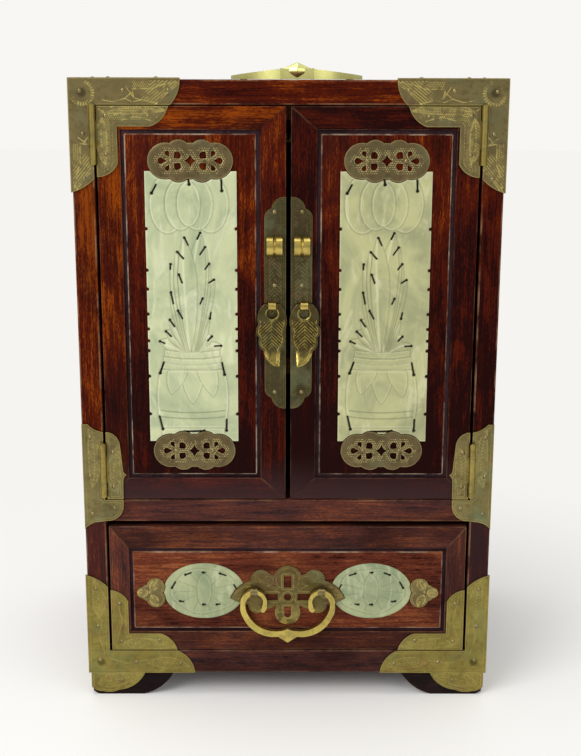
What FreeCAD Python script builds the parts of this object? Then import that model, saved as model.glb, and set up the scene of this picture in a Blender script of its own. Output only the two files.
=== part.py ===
import FreeCAD, Part
import math
import os

from FreeCAD import Vector

# A jewelry cabinet: a wooden case with two doors over one drawer, on four bracket feet. It has engraved
# brass corner pieces and hinges, stone plaques, leaf pulls, a drawer bail and a carrying handle on top.
# Sizes are in millimetres. X runs to the right, Y to the back and Z up. The origin is on the floor,
# under the middle of the whole cabinet. Right-hand pieces are drawn and left-hand ones are mirrored.

# Case
case_width = 230.0
case_depth = 165.0
door_opening_height = 218.0
drawer_opening_height = 79.0
board_thickness = 13.0
side_thickness = 11.8
bottom_thickness = 14.0
back_thickness = 5.0
housing_depth = 4.0
shelf_thickness = 8.0
shelf_height = 70.0
lining_thickness = 1.2
inside_setback = 2.0

# Feet
foot_height = 14.4
foot_inset = 1.2
foot_length = 49.0
foot_flat = 31.0
foot_thickness = 13.0
foot_round = 4.3

# Doors
door_thickness = 12.0
door_side_gap = 1.6
door_end_gap = 0.6
door_middle_gap = 2.6
door_stile = 12.5
meeting_stile = 14.0
door_rail = 12.3

# Framed panels, the same in the doors and in the drawer front
panel_groove = 1.9
panel_groove_depth = 1.0
panel_recess = 0.3
panel_arris = 0.7
tongue_depth = 4.0
tongue_thickness = 4.0
panel_thickness = 8.5

# Stone plaques on the doors and ovals on the drawer
plaque_width = 49.0
stone_seat = 2.4
stone_proud = 1.0
stone_lip_gap = 0.4
pierced_width = 1.3
oval_width = 46.2
oval_height = 33.6
oval_edge_space = 19.5

# Drawer
drawer_side_gap = 1.5
drawer_bottom_gap = 0.6
drawer_top_gap = 3.1
drawer_running_gap = 0.3
drawer_front_thickness = 12.0
drawer_stile = 11.1
drawer_top_rail = 13.2
drawer_bottom_rail = 11.1
drawer_wall = 8.0
drawer_box_height = 60.0
drawer_bottom_thickness = 4.0
drawer_bottom_lift = 4.0
drawer_groove = 3.0
drawer_stop_depth = 6.0
drawer_stop_width = 20.0
drawer_stop_height = 10.0
drawer_lining_height = 34.0

# Sheet brass and the round-headed nails that hold it
brass = 0.8
nail_head_radius = 1.25
nail_head_height = 0.75
nail_shank_radius = 0.5
nail_length = 6.0
nail_hole_clearance = 0.05

# Corner pieces: the length of the two legs, their widths, how far the end of the rail leg is rounded back,
# and how far the door's or drawer's part ends short
top_corner_reach = 58.0
top_corner_rise = 58.8
top_corner_stile_leg = 24.5
top_corner_rail_leg = 24.2
top_corner_shoulder = 6.4
top_corner_drop = 8.2
bottom_corner_reach = 61.2
bottom_corner_rise = 60.8
bottom_corner_stile_leg = 23.2
bottom_corner_rail_leg = 24.7
bottom_corner_shoulder = 10.0
bottom_corner_drop = 9.2
foot_plate_reach = 32.0
foot_plate_low = 1.6

# Hinges
hinge_radius = 1.8
hinge_pin_radius = 0.9
hinge_pin_clearance = 0.05
hinge_pin_head_radius = 1.1
hinge_pin_head_height = 0.5
hinge_standoff = 0.2
hinge_slot_gap = 0.3
hinge_length = 31.0
hinge_middle_knuckle = 15.0
knuckle_gap = 0.2
lower_hinge_rise = 1.6
hinge_plate_top = 44.2
hinge_plate_bottom = 17.4
hinge_plate_width = 22.7

# Cloud plates over the ends of the door plaques
cloud_plate_overlap = 5.5
cloud_plate_gap = 5.0
rosette_offset = 10.2
rosette_rise = 4.6
rosette_lobe_radius = 6.5
petal_length = 4.3
petal_radius = 1.6

# Half lock plates on the meeting stiles, with the loops for a lock pin
lock_plate_width = 11.6
lock_plate_height = 116.5
lock_plate_lift = 53.0
lock_loop_width = 8.4
lock_loop_height = 11.4
lock_loop_wall = 1.3
lock_loop_reach = 7.0
lock_loop_drop = 26.3
lock_loop_flute = 0.7

# Leaf pulls
pull_drop = 58.8
pull_bar_radius = 1.1
pull_thickness = 1.8
pull_hole_radius = 2.9
pull_length = 33.0
pull_tip_reach = 3.4
pull_strap_width = 4.0

# Straps: bent brass eyes that hold the pulls, the drawer bail and the top handle
strap_wall = 0.9
strap_clearance = 0.3

# Drawer bail and its plate
bail_plate_half_width = 32.8
bail_plate_centre = 32.7
bail_spread = 19.2
bail_rise = 4.2
bail_thickness = 3.4
bail_bar_radius = 1.2
bail_standoff = 2.6
bail_strap_width = 3.8
bail_half_width = 27.0
bail_drop = 26.2
end_plate_lobe_radius = 5.2
end_plate_gap = 7.9

# Top handle
handle_offset = 4.8
handle_spread = 31.0
handle_half_width = 38.2
handle_reach = 38.5
handle_bar_width = 5.6
handle_bar_height = 6.0
handle_bar_radius = 0.9
handle_pivot_height = 1.6
handle_strap_width = 4.2
handle_strap_wall = 0.6
handle_bead_radius = 4.6
handle_bead_length = 16.6
handle_rest_gap = 0.2

# Fittings inside the cupboard
hook_count = 5
hook_spacing = 32.0
hook_radius = 1.0
hook_reach = 11.0
hook_tip = 5.0
hook_flange_radius = 3.0
hook_rail_width = 180.0
hook_rail_height = 14.0
hook_rail_depth = 8.0
hook_rail_drop = 16.0
stop_strip_depth = 8.0
stop_strip_height = 8.0
stop_gap = 0.3
magnet_radius = 3.0
magnet_length = 4.0
magnet_offset = 18.0
keeper_thickness = 0.8

# Places worked out from the sizes above
half_width = case_width / 2
opening_half = half_width - side_thickness
case_bottom = foot_height
drawer_floor = case_bottom + bottom_thickness
divider_bottom = drawer_floor + drawer_opening_height
divider_top = divider_bottom + board_thickness
opening_top = divider_top + door_opening_height
case_top = opening_top + board_thickness

lock_loop_front = brass + lock_loop_reach
bail_front = brass + bail_standoff + bail_bar_radius + strap_clearance + strap_wall
front_reach = max(lock_loop_front, bail_front)
front = (front_reach - case_depth) / 2
back = front + case_depth
plate_face = front - brass
lining_back = back - back_thickness - lining_thickness
inside_front = front + door_thickness + inside_setback
shelf_bottom = divider_top + shelf_height
shelf_top = shelf_bottom + shelf_thickness

door_inner = door_middle_gap / 2
door_outer = opening_half - door_side_gap
door_bottom = divider_top + door_end_gap
door_top = opening_top - door_end_gap
panel_left = door_inner + meeting_stile
panel_right = door_outer - door_stile
panel_bottom = door_bottom + door_rail
panel_top = door_top - door_rail
panel_face = front + panel_recess
plaque_x = (panel_left + panel_right) / 2
plaque_z = (panel_bottom + panel_top) / 2
cloud_high = panel_top - cloud_plate_gap - rosette_rise - rosette_lobe_radius
cloud_low = panel_bottom + cloud_plate_gap + rosette_rise + rosette_lobe_radius
plaque_height = cloud_high - cloud_low - 2 * cloud_plate_overlap

drawer_half = opening_half - drawer_side_gap
drawer_bottom = drawer_floor + drawer_bottom_gap
drawer_top = divider_bottom - drawer_top_gap
drawer_panel_half = drawer_half - drawer_stile
drawer_panel_bottom = drawer_bottom + drawer_bottom_rail
drawer_panel_top = drawer_top - drawer_top_rail
drawer_box_bottom = drawer_floor + drawer_running_gap
drawer_box_top = drawer_box_bottom + drawer_box_height
drawer_back = back - back_thickness - drawer_stop_depth
bail_z = drawer_bottom + bail_plate_centre
oval_x = drawer_panel_half - oval_edge_space - oval_width / 2

hinge_x = opening_half
hinge_y = front - hinge_standoff - hinge_radius
upper_hinge_bottom = opening_top - hinge_length
lower_hinge_bottom = door_bottom + lower_hinge_rise
lock_plate_bottom = door_bottom + lock_plate_lift
lock_plate_top = lock_plate_bottom + lock_plate_height
lock_x = door_inner + lock_plate_width / 2 + 0.3
lock_loop_z = lock_plate_top - lock_loop_drop
pull_bore = pull_bar_radius + strap_clearance
pull_x = lock_x + 1.3
pull_y = plate_face - pull_bore - strap_wall / 2
pull_z = lock_plate_top - pull_drop
bail_y = plate_face - bail_standoff
bail_axis_z = bail_z + bail_rise
handle_y = front + case_depth / 2
handle_axis_z = case_top + handle_pivot_height
handle_bead_centre = handle_reach - handle_bar_width / 2
handle_bead_height = handle_bead_radius + handle_rest_gap

nodes = {}


def box(x0, x1, y0, y1, z0, z1):
    """A block between two corners."""
    return Part.makeBox(x1 - x0, y1 - y0, z1 - z0, Vector(x0, y0, z0))


def mirrored(shape):
    """The left-hand twin of a right-hand shape."""
    return shape.mirror(Vector(0, 0, 0), Vector(1, 0, 0))


def keep(name, *solids):
    """Store the solids of one named piece."""
    nodes[name] = solids


def keep_pair(name, *solids):
    """Store a right-hand piece and its left-hand twin."""
    keep("right_" + name, *solids)
    keep("left_" + name, *[mirrored(solid) for solid in solids])


def joined(first, *others):
    """One solid from pieces that touch or overlap."""
    return first.fuse(list(others)).removeSplitter()


def outline_face(place, start, *steps):
    """A flat face. Each step is a point to draw a line to, or a pair: a point passed and an arc's end."""
    edges = []
    here = place(*start)
    for step in steps + (start,):
        if isinstance(step[0], tuple):
            end = place(*step[1])
            edges.append(Part.Arc(here, place(*step[0]), end).toShape())
        else:
            end = place(*step)
            if end.distanceToPoint(here) > 1e-6:
                edges.append(Part.makeLine(here, end))
        here = end
    return Part.Face(Part.Wire(edges))


def on_front(x, z):
    """A point on the front of the case."""
    return Vector(x, front, z)


def slab(face, thickness, direction=Vector(0, -1, 0)):
    """A face given a thickness."""
    return face.extrude(direction * thickness)


def disc(x, z, radius, y0, y1):
    """A round plate or hole that faces the front."""
    return Part.makeCylinder(radius, y1 - y0, Vector(x, y0, z), Vector(0, 1, 0))


def nail(head_seat, outward):
    """A round-headed nail whose head sits on head_seat."""
    across = Vector(0, 0, 1) if abs(outward.z) < 0.5 else Vector(1, 0, 0)
    crown = (nail_head_radius ** 2 + nail_head_height ** 2) / (2 * nail_head_height)
    half_angle = math.asin(nail_head_radius / crown) / 2
    rim = head_seat + across * nail_head_radius
    top = head_seat + outward * nail_head_height
    middle = top - outward * crown * (1 - math.cos(half_angle)) + across * crown * math.sin(half_angle)
    point = head_seat - outward * nail_length
    edges = [
        Part.Arc(rim, middle, top).toShape(),
        Part.makeLine(top, point),
        Part.makeLine(point, point + across * nail_shank_radius),
        Part.makeLine(point + across * nail_shank_radius, head_seat + across * nail_shank_radius),
        Part.makeLine(head_seat + across * nail_shank_radius, rim),
    ]
    return Part.Face(Part.Wire(edges)).revolve(head_seat, outward, 360)


def nail_hole(head_seat, outward):
    """The hole that a nail's shank fits, through the brass and into the wood."""
    start = head_seat + outward * nail_head_height
    depth = nail_length + nail_head_height + 0.3
    return Part.makeCylinder(nail_shank_radius + nail_hole_clearance, depth, start, outward * -1)


def front_nails(points):
    """Where front nails sit, from points in X and Z."""
    return [(Vector(x, plate_face, z), Vector(0, -1, 0)) for x, z in points]


def drilled(shape, seats):
    """A shape with the holes of some nails."""
    return shape.cut([nail_hole(seat, outward) for seat, outward in seats])


def nails_of(seats):
    """The nails at some seats."""
    return [nail(seat, outward) for seat, outward in seats]


def eye(x, axis_y, axis_z, bar_radius, width, seat_y):
    """A bent strap that holds a bar lying along X, standing on a face at seat_y."""
    bore = bar_radius + strap_clearance
    outer = bore + strap_wall
    x0 = x - width / 2
    shape = Part.makeCylinder(outer, width, Vector(x0, axis_y, axis_z), Vector(1, 0, 0))
    legs = box(x0, x0 + width, axis_y, seat_y, axis_z - outer, axis_z + outer)
    shape = shape.common(box(x0, x0 + width, axis_y - outer, seat_y, axis_z - outer, axis_z + outer))
    hole = Part.makeCylinder(bore, width, Vector(x0, axis_y, axis_z), Vector(1, 0, 0))
    return joined(shape, legs).cut(hole)


def mitred_frame(x0, x1, z0, z1, left, right, bottom, top, y0, y1):
    """Four members that meet at mitres: left, right, bottom and top."""
    outer = [(x0, z0), (x1, z0), (x1, z1), (x0, z1)]
    inner = [(x0 + left, z0 + bottom), (x1 - right, z0 + bottom), (x1 - right, z1 - top), (x0 + left, z1 - top)]
    members = []
    for corner in range(4):
        after = (corner + 1) % 4
        points = [outer[corner], outer[after], inner[after], inner[corner]]
        face = outline_face(lambda x, z: Vector(x, y0, z), *points)
        members.append(slab(face, y1 - y0, Vector(0, 1, 0)))
    return members


def panel_tongue(x0, x1, z0, z1):
    """The edge of a panel that enters the grooves of its frame."""
    y1 = panel_face + panel_thickness
    grow = tongue_depth
    return box(x0 - grow, x1 + grow, y1 - tongue_thickness, y1, z0 - grow, z1 + grow)


def raised_panel(x0, x1, z0, z1):
    """A panel with a raised field inside the opening of its frame."""
    gap = panel_groove
    y1 = panel_face + panel_thickness
    field = box(x0 + gap, x1 - gap, panel_face, y1, z0 + gap, z1 - gap)
    arris = [edge for edge in field.Edges if edge.BoundBox.YMax < panel_face + 1e-6]
    field = field.makeChamfer(panel_arris, arris)
    shoulder = box(x0, x1, panel_face + panel_groove_depth, y1, z0, z1)
    return joined(field, shoulder, panel_tongue(x0, x1, z0, z1))


def lobed_plate(x, z, lobes, y0, y1, grow=0.0):
    """A flat plate whose outline is made of round lobes, each given as an X, a Z and a radius."""
    rounds = [disc(x + dx, z + dz, radius + grow, y0, y1) for dx, dz, radius in lobes]
    return joined(*rounds)


def cloud_lobes():
    """The lobes of a cloud plate: one large round at each end, two smaller ones beside it and one in the middle."""
    radius, rise = rosette_lobe_radius, rosette_rise
    lobes = [(0, 0, radius * 1.45)]
    for side in (-1, 1):
        lobes.append((side * (rosette_offset + 3.0), 0, radius * 1.46))
        lobes += [(side * rosette_offset * 0.61, up * rise, radius) for up in (-1, 1)]
    return lobes


def petal(x, z, angle, length, radius):
    """A hole in the shape of a petal that points to the nail at x and z, turned to an angle in degrees."""
    along = Vector(math.cos(math.radians(angle)), 0, math.sin(math.radians(angle)))
    across = Vector(-along.z, 0, along.x)
    near = nail_head_radius + 0.8
    far = near + length
    face = outline_face(
        lambda a, b: Vector(x, panel_face, z) + along * a + across * b,
        (near, 0), (far - radius, radius), ((far, 0), (far - radius, -radius)))
    return slab(face, 2 * brass)


def cloud_cutter(x, z):
    """The holes of a cloud plate: five petals round each nail and a diamond in the middle."""
    petals = [(0, 1.15, 1.1), (64, 0.85, 0.8), (-64, 0.85, 0.8), (140, 1.0, 1.35), (-140, 1.0, 1.35)]
    holes = []
    for angle, long, wide in petals:
        length, radius = petal_length * long, petal_radius * wide
        holes.append(petal(x + rosette_offset, z, angle, length, radius))
        holes.append(petal(x - rosette_offset, z, 180 - angle, length, radius))
    diamond = outline_face(
        lambda dx, dz: Vector(x + dx, panel_face, z + dz),
        (3.4, 0), ((1.2, 1.4), (0, 3.9)), ((-1.2, 1.4), (-3.4, 0)), ((-1.2, -1.4), (0, -3.9)), ((1.2, -1.4), (3.4, 0)))
    holes.append(slab(diamond, 2 * brass))
    return holes


def cloud_plate(x, z):
    """One pierced cloud plate on the face of a door panel."""
    plate = lobed_plate(x, z, cloud_lobes(), panel_face - brass, panel_face)
    return plate.cut(cloud_cutter(x, z))


def cloud_nail_seats(z):
    """The two nails of a cloud plate."""
    y = panel_face - brass
    return [(Vector(plaque_x + side * rosette_offset, y, z), Vector(0, -1, 0)) for side in (-1, 1)]


def pierced_slots():
    """The larger slots of a door plaque, each given as its middle, length and slant."""
    rows = [(0.400, 0.36, 4.6, 12), (0.405, 0.00, 3.6, 0), (0.260, 0.30, 5.0, -35), (0.150, 0.22, 5.5, 30)]
    rows += [(0.040, 0.33, 5.0, -40), (-0.090, 0.16, 5.0, 15), (-0.215, 0.33, 4.0, 25), (-0.380, 0.36, 4.0, -20)]
    slots = []
    for high, wide, length, slant in rows:
        for side in ((-1, 1) if wide else (1,)):
            slots.append((side * wide * plaque_width, high * plaque_height, length, side * slant))
    return slots


def slot_cutter(x, z, length, slant, y0, y1):
    """A round-ended slot through a plaque."""
    radius = pierced_width / 2
    reach = length / 2
    bar = box(x - radius, x + radius, y0, y1, z - reach, z + reach)
    ends = [disc(x, z - reach, radius, y0, y1), disc(x, z + reach, radius, y0, y1)]
    slot = joined(bar, *ends)
    slot.rotate(Vector(x, y0, z), Vector(0, 1, 0), slant)
    return slot


def door_plaque():
    """The pierced stone plaque of the right door, let into the panel, with lips under the cloud plates."""
    x0, x1 = plaque_x - plaque_width / 2, plaque_x + plaque_width / 2
    z0, z1 = plaque_z - plaque_height / 2, plaque_z + plaque_height / 2
    y0, y1 = panel_face - stone_proud, panel_face + stone_seat
    plaque = box(x0, x1, y0, y1, z0, z1)
    under = [lobed_plate(plaque_x, z, cloud_lobes(), y0, panel_face, stone_lip_gap) for z in (cloud_low, cloud_high)]
    slots = [slot_cutter(plaque_x + dx, plaque_z + dz, length, slant, y0, y1)
             for dx, dz, length, slant in pierced_slots()]
    return plaque.cut(under + slots)


def corner_outline(reach, rise, wide, high, shoulder, drop, lap):
    """Outline steps of an L-shaped corner piece: along its rail, then up its stile, measured from the corner."""
    door_side = half_width - door_outer
    far, end = reach - shoulder, rise - drop
    return [
        (-brass, -lap), (reach, -lap),
        ((reach - shoulder * 0.32, 8.6), (far, 14.0)), ((far - 3.5, high - 3.9), (far - 9.5, high)),
        (wide, high), (wide, end - 7.0),
        ((wide - 3.2, end - 2.8), (door_side, end)), (door_side - 1.4, rise - 7.6),
        ((7.4, rise - 3.6), (-brass, rise)),
    ]


def corner_flange(outline, place, outward):
    """One flat flange of a corner piece."""
    return slab(outline_face(place, *outline), brass, outward)


def top_corner_piece():
    """The right top corner piece before the door's part is cut off: front, side and top flanges."""
    sizes = top_corner_reach, top_corner_rise, top_corner_stile_leg, top_corner_rail_leg, top_corner_shoulder
    front_outline = corner_outline(*sizes, top_corner_drop, brass)
    flat_outline = corner_outline(*sizes, top_corner_drop, 0)
    face = corner_flange(front_outline, lambda u, v: on_front(half_width - u, case_top - v), Vector(0, -1, 0))
    side = corner_flange(
        flat_outline, lambda u, v: Vector(half_width, front + u, case_top - v), Vector(1, 0, 0))
    top = corner_flange(
        flat_outline, lambda u, v: Vector(half_width - u, front + v, case_top), Vector(0, 0, 1))
    edge = box(half_width, half_width + brass, front, front + top_corner_reach, case_top, case_top + brass)
    return face, joined(side, top, edge)


def bottom_corner_piece():
    """The right bottom corner piece before the drawer's part is cut off: front and side flanges."""
    sizes = bottom_corner_reach, bottom_corner_rise, bottom_corner_stile_leg, bottom_corner_rail_leg
    outline = corner_outline(*sizes, bottom_corner_shoulder, bottom_corner_drop, 0)
    face = corner_flange(outline, lambda u, v: on_front(half_width - u, case_bottom + v), Vector(0, -1, 0))
    side = corner_flange(
        outline, lambda u, v: Vector(half_width, front + u, case_bottom + v), Vector(1, 0, 0))
    return face, side


def hinge_plate_face():
    """The outline of the lower hinge plates, case and door parts together, on the right."""
    x0 = half_width
    z = divider_top
    inner = half_width - hinge_plate_width
    top, bottom = z + hinge_plate_top, z - hinge_plate_bottom
    return outline_face(
        on_front, (x0, top), (x0 - 3.5, top), ((x0 - 8.0, top - 3.4), (x0 - 13.0, top - 4.6)),
        (x0 - 14.9, top - 4.6), ((inner + 4.2, top - 6.6), (inner + 1.6, top - 12.0)),
        (inner + 0.3, z + 17.8), ((inner - 0.4, z + 15.8), (inner - 1.6, z + 14.8)),
        ((inner - 0.2, z + 13.2), (inner + 0.3, z + 11.6)), (inner + 0.5, z - 3.0),
        ((inner + 3.0, z - 9.6), (inner + 10.0, z - 12.4)), (x0 - 6.5, z - 13.2),
        ((x0 - 3.0, z - 14.6), (x0, bottom)))


def door_zone(y0, y1, inset=0.0):
    """The space of the right door, for cutting fittings where the door ends."""
    return box(door_inner + inset, door_outer - inset, y0, y1, door_bottom + inset, door_top - inset)


def knuckle(z0, z1):
    """One rolled knuckle of a hinge."""
    centre = Vector(hinge_x, hinge_y, z0)
    tube = Part.makeCylinder(hinge_radius, z1 - z0, centre)
    return tube.cut(Part.makeCylinder(hinge_pin_radius + hinge_pin_clearance, z1 - z0, centre))


def hinge_heights(bottom):
    """Where the three knuckles of a hinge start and end: lower case, door and upper case."""
    end = (hinge_length - hinge_middle_knuckle) / 2
    low = bottom + end
    high = low + hinge_middle_knuckle
    return (bottom, low), (low + knuckle_gap, high - knuckle_gap), (high, bottom + hinge_length)


def case_leaf(plate, bottom):
    """A case plate with its two knuckles and the slot for the door's knuckle."""
    low, middle, high = hinge_heights(bottom)
    reach = hinge_radius + hinge_slot_gap
    slot = box(hinge_x - reach, hinge_x + reach, plate_face, front, low[1], high[0])
    knuckles = [knuckle(*low), knuckle(*high)]
    bore = Part.makeCylinder(hinge_pin_radius + hinge_pin_clearance, hinge_length, Vector(hinge_x, hinge_y, bottom))
    return joined(plate.cut(slot), *knuckles).cut(bore)


def door_leaf(plate, bottom):
    """A door plate with its knuckle and the slots for the case's knuckles."""
    low, middle, high = hinge_heights(bottom)
    reach = hinge_radius + hinge_slot_gap
    end = hinge_slot_gap
    slots = [
        box(hinge_x - reach, hinge_x, plate_face, front, low[0] - end, middle[0]),
        box(hinge_x - reach, hinge_x, plate_face, front, middle[1], high[1] + end),
    ]
    arm = box(door_outer - reach, hinge_x, plate_face, front, *middle)
    bore = Part.makeCylinder(hinge_pin_radius + hinge_pin_clearance, hinge_length, Vector(hinge_x, hinge_y, bottom))
    return joined(plate.cut(slots), arm, knuckle(*middle)).cut(bore)


def hinge_pin(bottom):
    """The pin of one hinge, with a small head on top."""
    z1 = bottom + hinge_length
    shaft = Part.makeCylinder(hinge_pin_radius, hinge_length, Vector(hinge_x, hinge_y, bottom))
    head = Part.makeCylinder(hinge_pin_head_radius, hinge_pin_head_height, Vector(hinge_x, hinge_y, z1))
    return joined(shaft, head)


def top_corner_nails():
    """Nails of the right top corner piece: on the case and on the door."""
    x, z = half_width, case_top
    far, low = top_corner_reach - 6.0, top_corner_rise - 7.4
    case_front = front_nails([(x - 5.5, z - 6), (x - far * 0.54, z - 5.6), (x - far, z - 5.5), (x - 6.5, z - low * 0.545),
                              (x - 6.5, z - low)])
    side_x = half_width + brass
    places = ((far * 0.54, 6), (far, 6), (6.5, low * 0.6), (6.5, low))
    sides = [(Vector(side_x, front + w, z - v), Vector(1, 0, 0)) for w, v in places]
    top_z = case_top + brass
    tops = [(Vector(x - u, front + w, top_z), Vector(0, 0, 1)) for u, w in ((45, 6), (6, 43), (18, 18))]
    door = front_nails([(x - 18.7, z - 18.6), (x - 41, z - 18.9), (x - 18.6, z - 38.8)])
    return case_front + sides + tops, door


def lower_hinge_nails():
    """Nails of the right lower hinge plates: on the case and on the door."""
    x, z = half_width, divider_top
    high = hinge_plate_top - 7.5
    case_nails = front_nails([(x - 4.6, z + high), (x - 4.2, z + high * 0.38), (x - 4.6, z - 8.3), (x - 17.3, z - 4.8)])
    door_nails = front_nails([(x - 17.2, z + 28.1), (x - 17.2, z + 7.9)])
    return case_nails, door_nails


def bottom_corner_nails():
    """Nails of the right bottom corner piece: on the case and on the drawer."""
    x, z = half_width, case_bottom
    far, high = bottom_corner_reach - 8.3, bottom_corner_rise - 8.6
    case_front = front_nails([(x - 5.0, z + high), (x - 5.6, z + high * 0.56), (x - 6.2, z + 8.1),
                              (x - far * 0.515, z + 6.7), (x - far, z + 5.6)])
    side_x = half_width + brass
    places = ((far * 0.515, 6.7), (far, 5.6), (6, high * 0.77), (13, 16))
    sides = [(Vector(side_x, front + w, z + v), Vector(1, 0, 0)) for w, v in places]
    drawer_nails = front_nails([(x - 18.4, z + 43.2), (x - 18.9, z + 19.8), (x - 41.0, z + 20.3)])
    return case_front + sides, drawer_nails


def foot_plate_nails():
    """Nails of the right foot plate, on the foot's front and side."""
    y = front + foot_inset - brass
    x = half_width - foot_inset + brass
    height = foot_height * 0.62
    facing = (Vector(half_width - 18.3, y, height), Vector(0, -1, 0))
    sideways = (Vector(x, front + 22.0, height), Vector(1, 0, 0))
    return [facing, sideways]


def lock_nails():
    """Nails of the right lock plate."""
    z = lock_plate_top
    return front_nails([(lock_x, z - 8.0), (lock_x, z - 47.7), (lock_x, lock_plate_bottom + 9.4)])


def end_plate_seats():
    """The nail of the right end plate of the drawer."""
    x = oval_x + oval_width / 2 + end_plate_gap
    return [(Vector(x, panel_face - brass, bail_z + 2.5), Vector(0, -1, 0))]


def case_nail_seats():
    """All right-hand nails of the case."""
    return top_corner_nails()[0] + lower_hinge_nails()[0] + bottom_corner_nails()[0]


def both_sides(seats):
    """Nail seats on the right and their mirror images on the left."""
    flipped = [(Vector(-p.x, p.y, p.z), Vector(-d.x, d.y, d.z)) for p, d in seats]
    return seats + flipped


def make_boards():
    """The boards of the case, housed into each other and nailed."""
    nails = both_sides(case_nail_seats())
    top = box(-half_width, half_width, front, back, opening_top, case_top)
    keep("top_board", drilled(top, nails))
    bottom = box(-half_width, half_width, front, back, case_bottom, drawer_floor)
    keep("bottom_board", drilled(bottom, nails))
    deep = opening_half + housing_depth
    divider = box(-deep, deep, front, back - back_thickness, divider_bottom, divider_top)
    shelf = box(-deep, deep, inside_front, back - back_thickness, shelf_bottom, shelf_top)
    side = box(opening_half, half_width, front, back, drawer_floor, opening_top)
    side = drilled(side.cut([divider, shelf]), nails)
    keep_pair("side_board", side)
    keep("divider_board", drilled(divider, nails))
    keep("shelf_board", shelf)
    keep("back_board", box(-opening_half, opening_half, back - back_thickness, back, drawer_floor, opening_top))


def make_inside():
    """The fabric-covered linings, the hook rail and the parts that stop and catch the doors and drawer."""
    wide = opening_half
    behind = back - back_thickness
    pads = [(divider_top, shelf_bottom), (shelf_top, opening_top)]
    backs = [box(-wide, wide, lining_back, behind, low, high) for low, high in pads]
    floors = [box(-wide, wide, inside_front, lining_back, low, low + lining_thickness) for low, high in pads]
    keep("cupboard_lining", *(backs + floors))
    rail_top = opening_top - hook_rail_drop
    rail_front = lining_back - hook_rail_depth
    rail_half = hook_rail_width / 2
    keep("hook_rail", box(-rail_half, rail_half, rail_front, lining_back, rail_top - hook_rail_height, rail_top))
    hook_z = rail_top - hook_rail_height / 2
    first = -(hook_count - 1) / 2 * hook_spacing
    keep("necklace_hooks", *[hook(first + n * hook_spacing, rail_front, hook_z) for n in range(hook_count)])
    strip_front = front + door_thickness + stop_gap
    strip = box(-wide, wide, strip_front, strip_front + stop_strip_depth, opening_top - stop_strip_height, opening_top)
    magnets = [magnet(side * magnet_offset, strip_front) for side in (-1, 1)]
    keep("door_stop_strip", strip.cut(magnets))
    keep("catch_magnets", *magnets)
    stops = [drawer_stop(side) for side in (-1, 1)]
    keep("drawer_stops", *stops)


def magnet_height():
    """The height of the catch magnets and of the keepers that face them."""
    return opening_top - stop_strip_height / 2 - door_end_gap / 2


def magnet(x, y):
    """One round magnet in the door stop."""
    return Part.makeCylinder(magnet_radius, magnet_length, Vector(x, y, magnet_height()), Vector(0, 1, 0))


def drawer_stop(side):
    """One block behind the drawer."""
    x = side * (opening_half - drawer_wall - drawer_stop_width)
    half = drawer_stop_width / 2
    y0 = drawer_back + drawer_running_gap
    return box(x - half, x + half, y0, back - back_thickness, drawer_floor, drawer_floor + drawer_stop_height)


def hook(x, y, z):
    """A necklace hook: a flange, a shank to the front and a tip turned up."""
    forward = Vector(0, -1, 0)
    flange = Part.makeCylinder(hook_flange_radius, 1.0, Vector(x, y, z), forward)
    bend = 2 * hook_radius
    straight = hook_reach - bend
    start, end = Vector(x, y, z), Vector(x, y - straight, z)
    shoulder = Vector(x, end.y - bend * math.sin(math.pi / 4), z + bend * (1 - math.cos(math.pi / 4)))
    turned = Vector(x, end.y - bend, z + bend)
    tip = turned + Vector(0, 0, hook_tip)
    edges = [Part.makeLine(start, end), Part.Arc(end, shoulder, turned).toShape(), Part.makeLine(turned, tip)]
    section = Part.Wire([Part.makeCircle(hook_radius, start, forward)])
    wire = Part.Wire(edges).makePipeShell([section], True, True)
    knob = Part.makeSphere(hook_radius * 1.5, tip)
    return joined(flange, wire, knob)


def foot_outline():
    """The profile of one wing of a bracket foot, from the outer corner inwards."""
    length, flat = foot_length, foot_flat
    return [
        (foot_inset, foot_height), (foot_inset, foot_round),
        ((foot_inset + foot_round * 0.28, foot_round * 0.31), (foot_inset + foot_round, 0)), (flat, 0),
        ((flat + (length - flat) * 0.56, foot_height * 0.34), (length, foot_height)),
    ]


def foot():
    """The right front foot: two wings that meet at the corner."""
    depth = foot_thickness
    y0 = front + foot_inset
    x1 = half_width - foot_inset
    facing = slab(outline_face(lambda u, h: Vector(half_width - u, y0, h), *foot_outline()), depth, Vector(0, 1, 0))
    sideways = slab(outline_face(lambda u, h: Vector(x1, front + u, h), *foot_outline()), depth, Vector(-1, 0, 0))
    return joined(facing, sideways)


def foot_plate():
    """The brass plate that wraps the right front foot."""
    reach, top, low = foot_plate_reach, foot_height, foot_plate_low
    inset = foot_inset
    outline = [
        (inset - brass, top), (reach, top), ((reach - 6.5, 6.2), (reach - 15.5, 3.0)),
        ((reach - 20.0, low), (inset + foot_round + 1.0, low + 0.6)),
        ((inset + foot_round * 0.35, foot_round * 0.7), (inset - brass, foot_round + 1.4)),
    ]
    y0, x1 = front + inset, half_width - inset
    facing = slab(outline_face(lambda u, h: Vector(half_width - u, y0, h), *outline), brass)
    sideways = slab(outline_face(lambda u, h: Vector(x1, front + u, h), *outline), brass, Vector(1, 0, 0))
    return joined(facing, sideways)


def make_feet():
    """Four bracket feet, with brass plates on the front pair."""
    seats = foot_plate_nails()
    right_front = drilled(foot(), seats)
    middle = Vector(0, (front + back) / 2, 0)
    right_rear = foot().mirror(middle, Vector(0, 1, 0))
    keep("front_feet", right_front, mirrored(right_front))
    keep("rear_feet", right_rear, mirrored(right_rear))
    plate = drilled(foot_plate(), seats)
    keep("foot_plates", plate, mirrored(plate))


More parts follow.
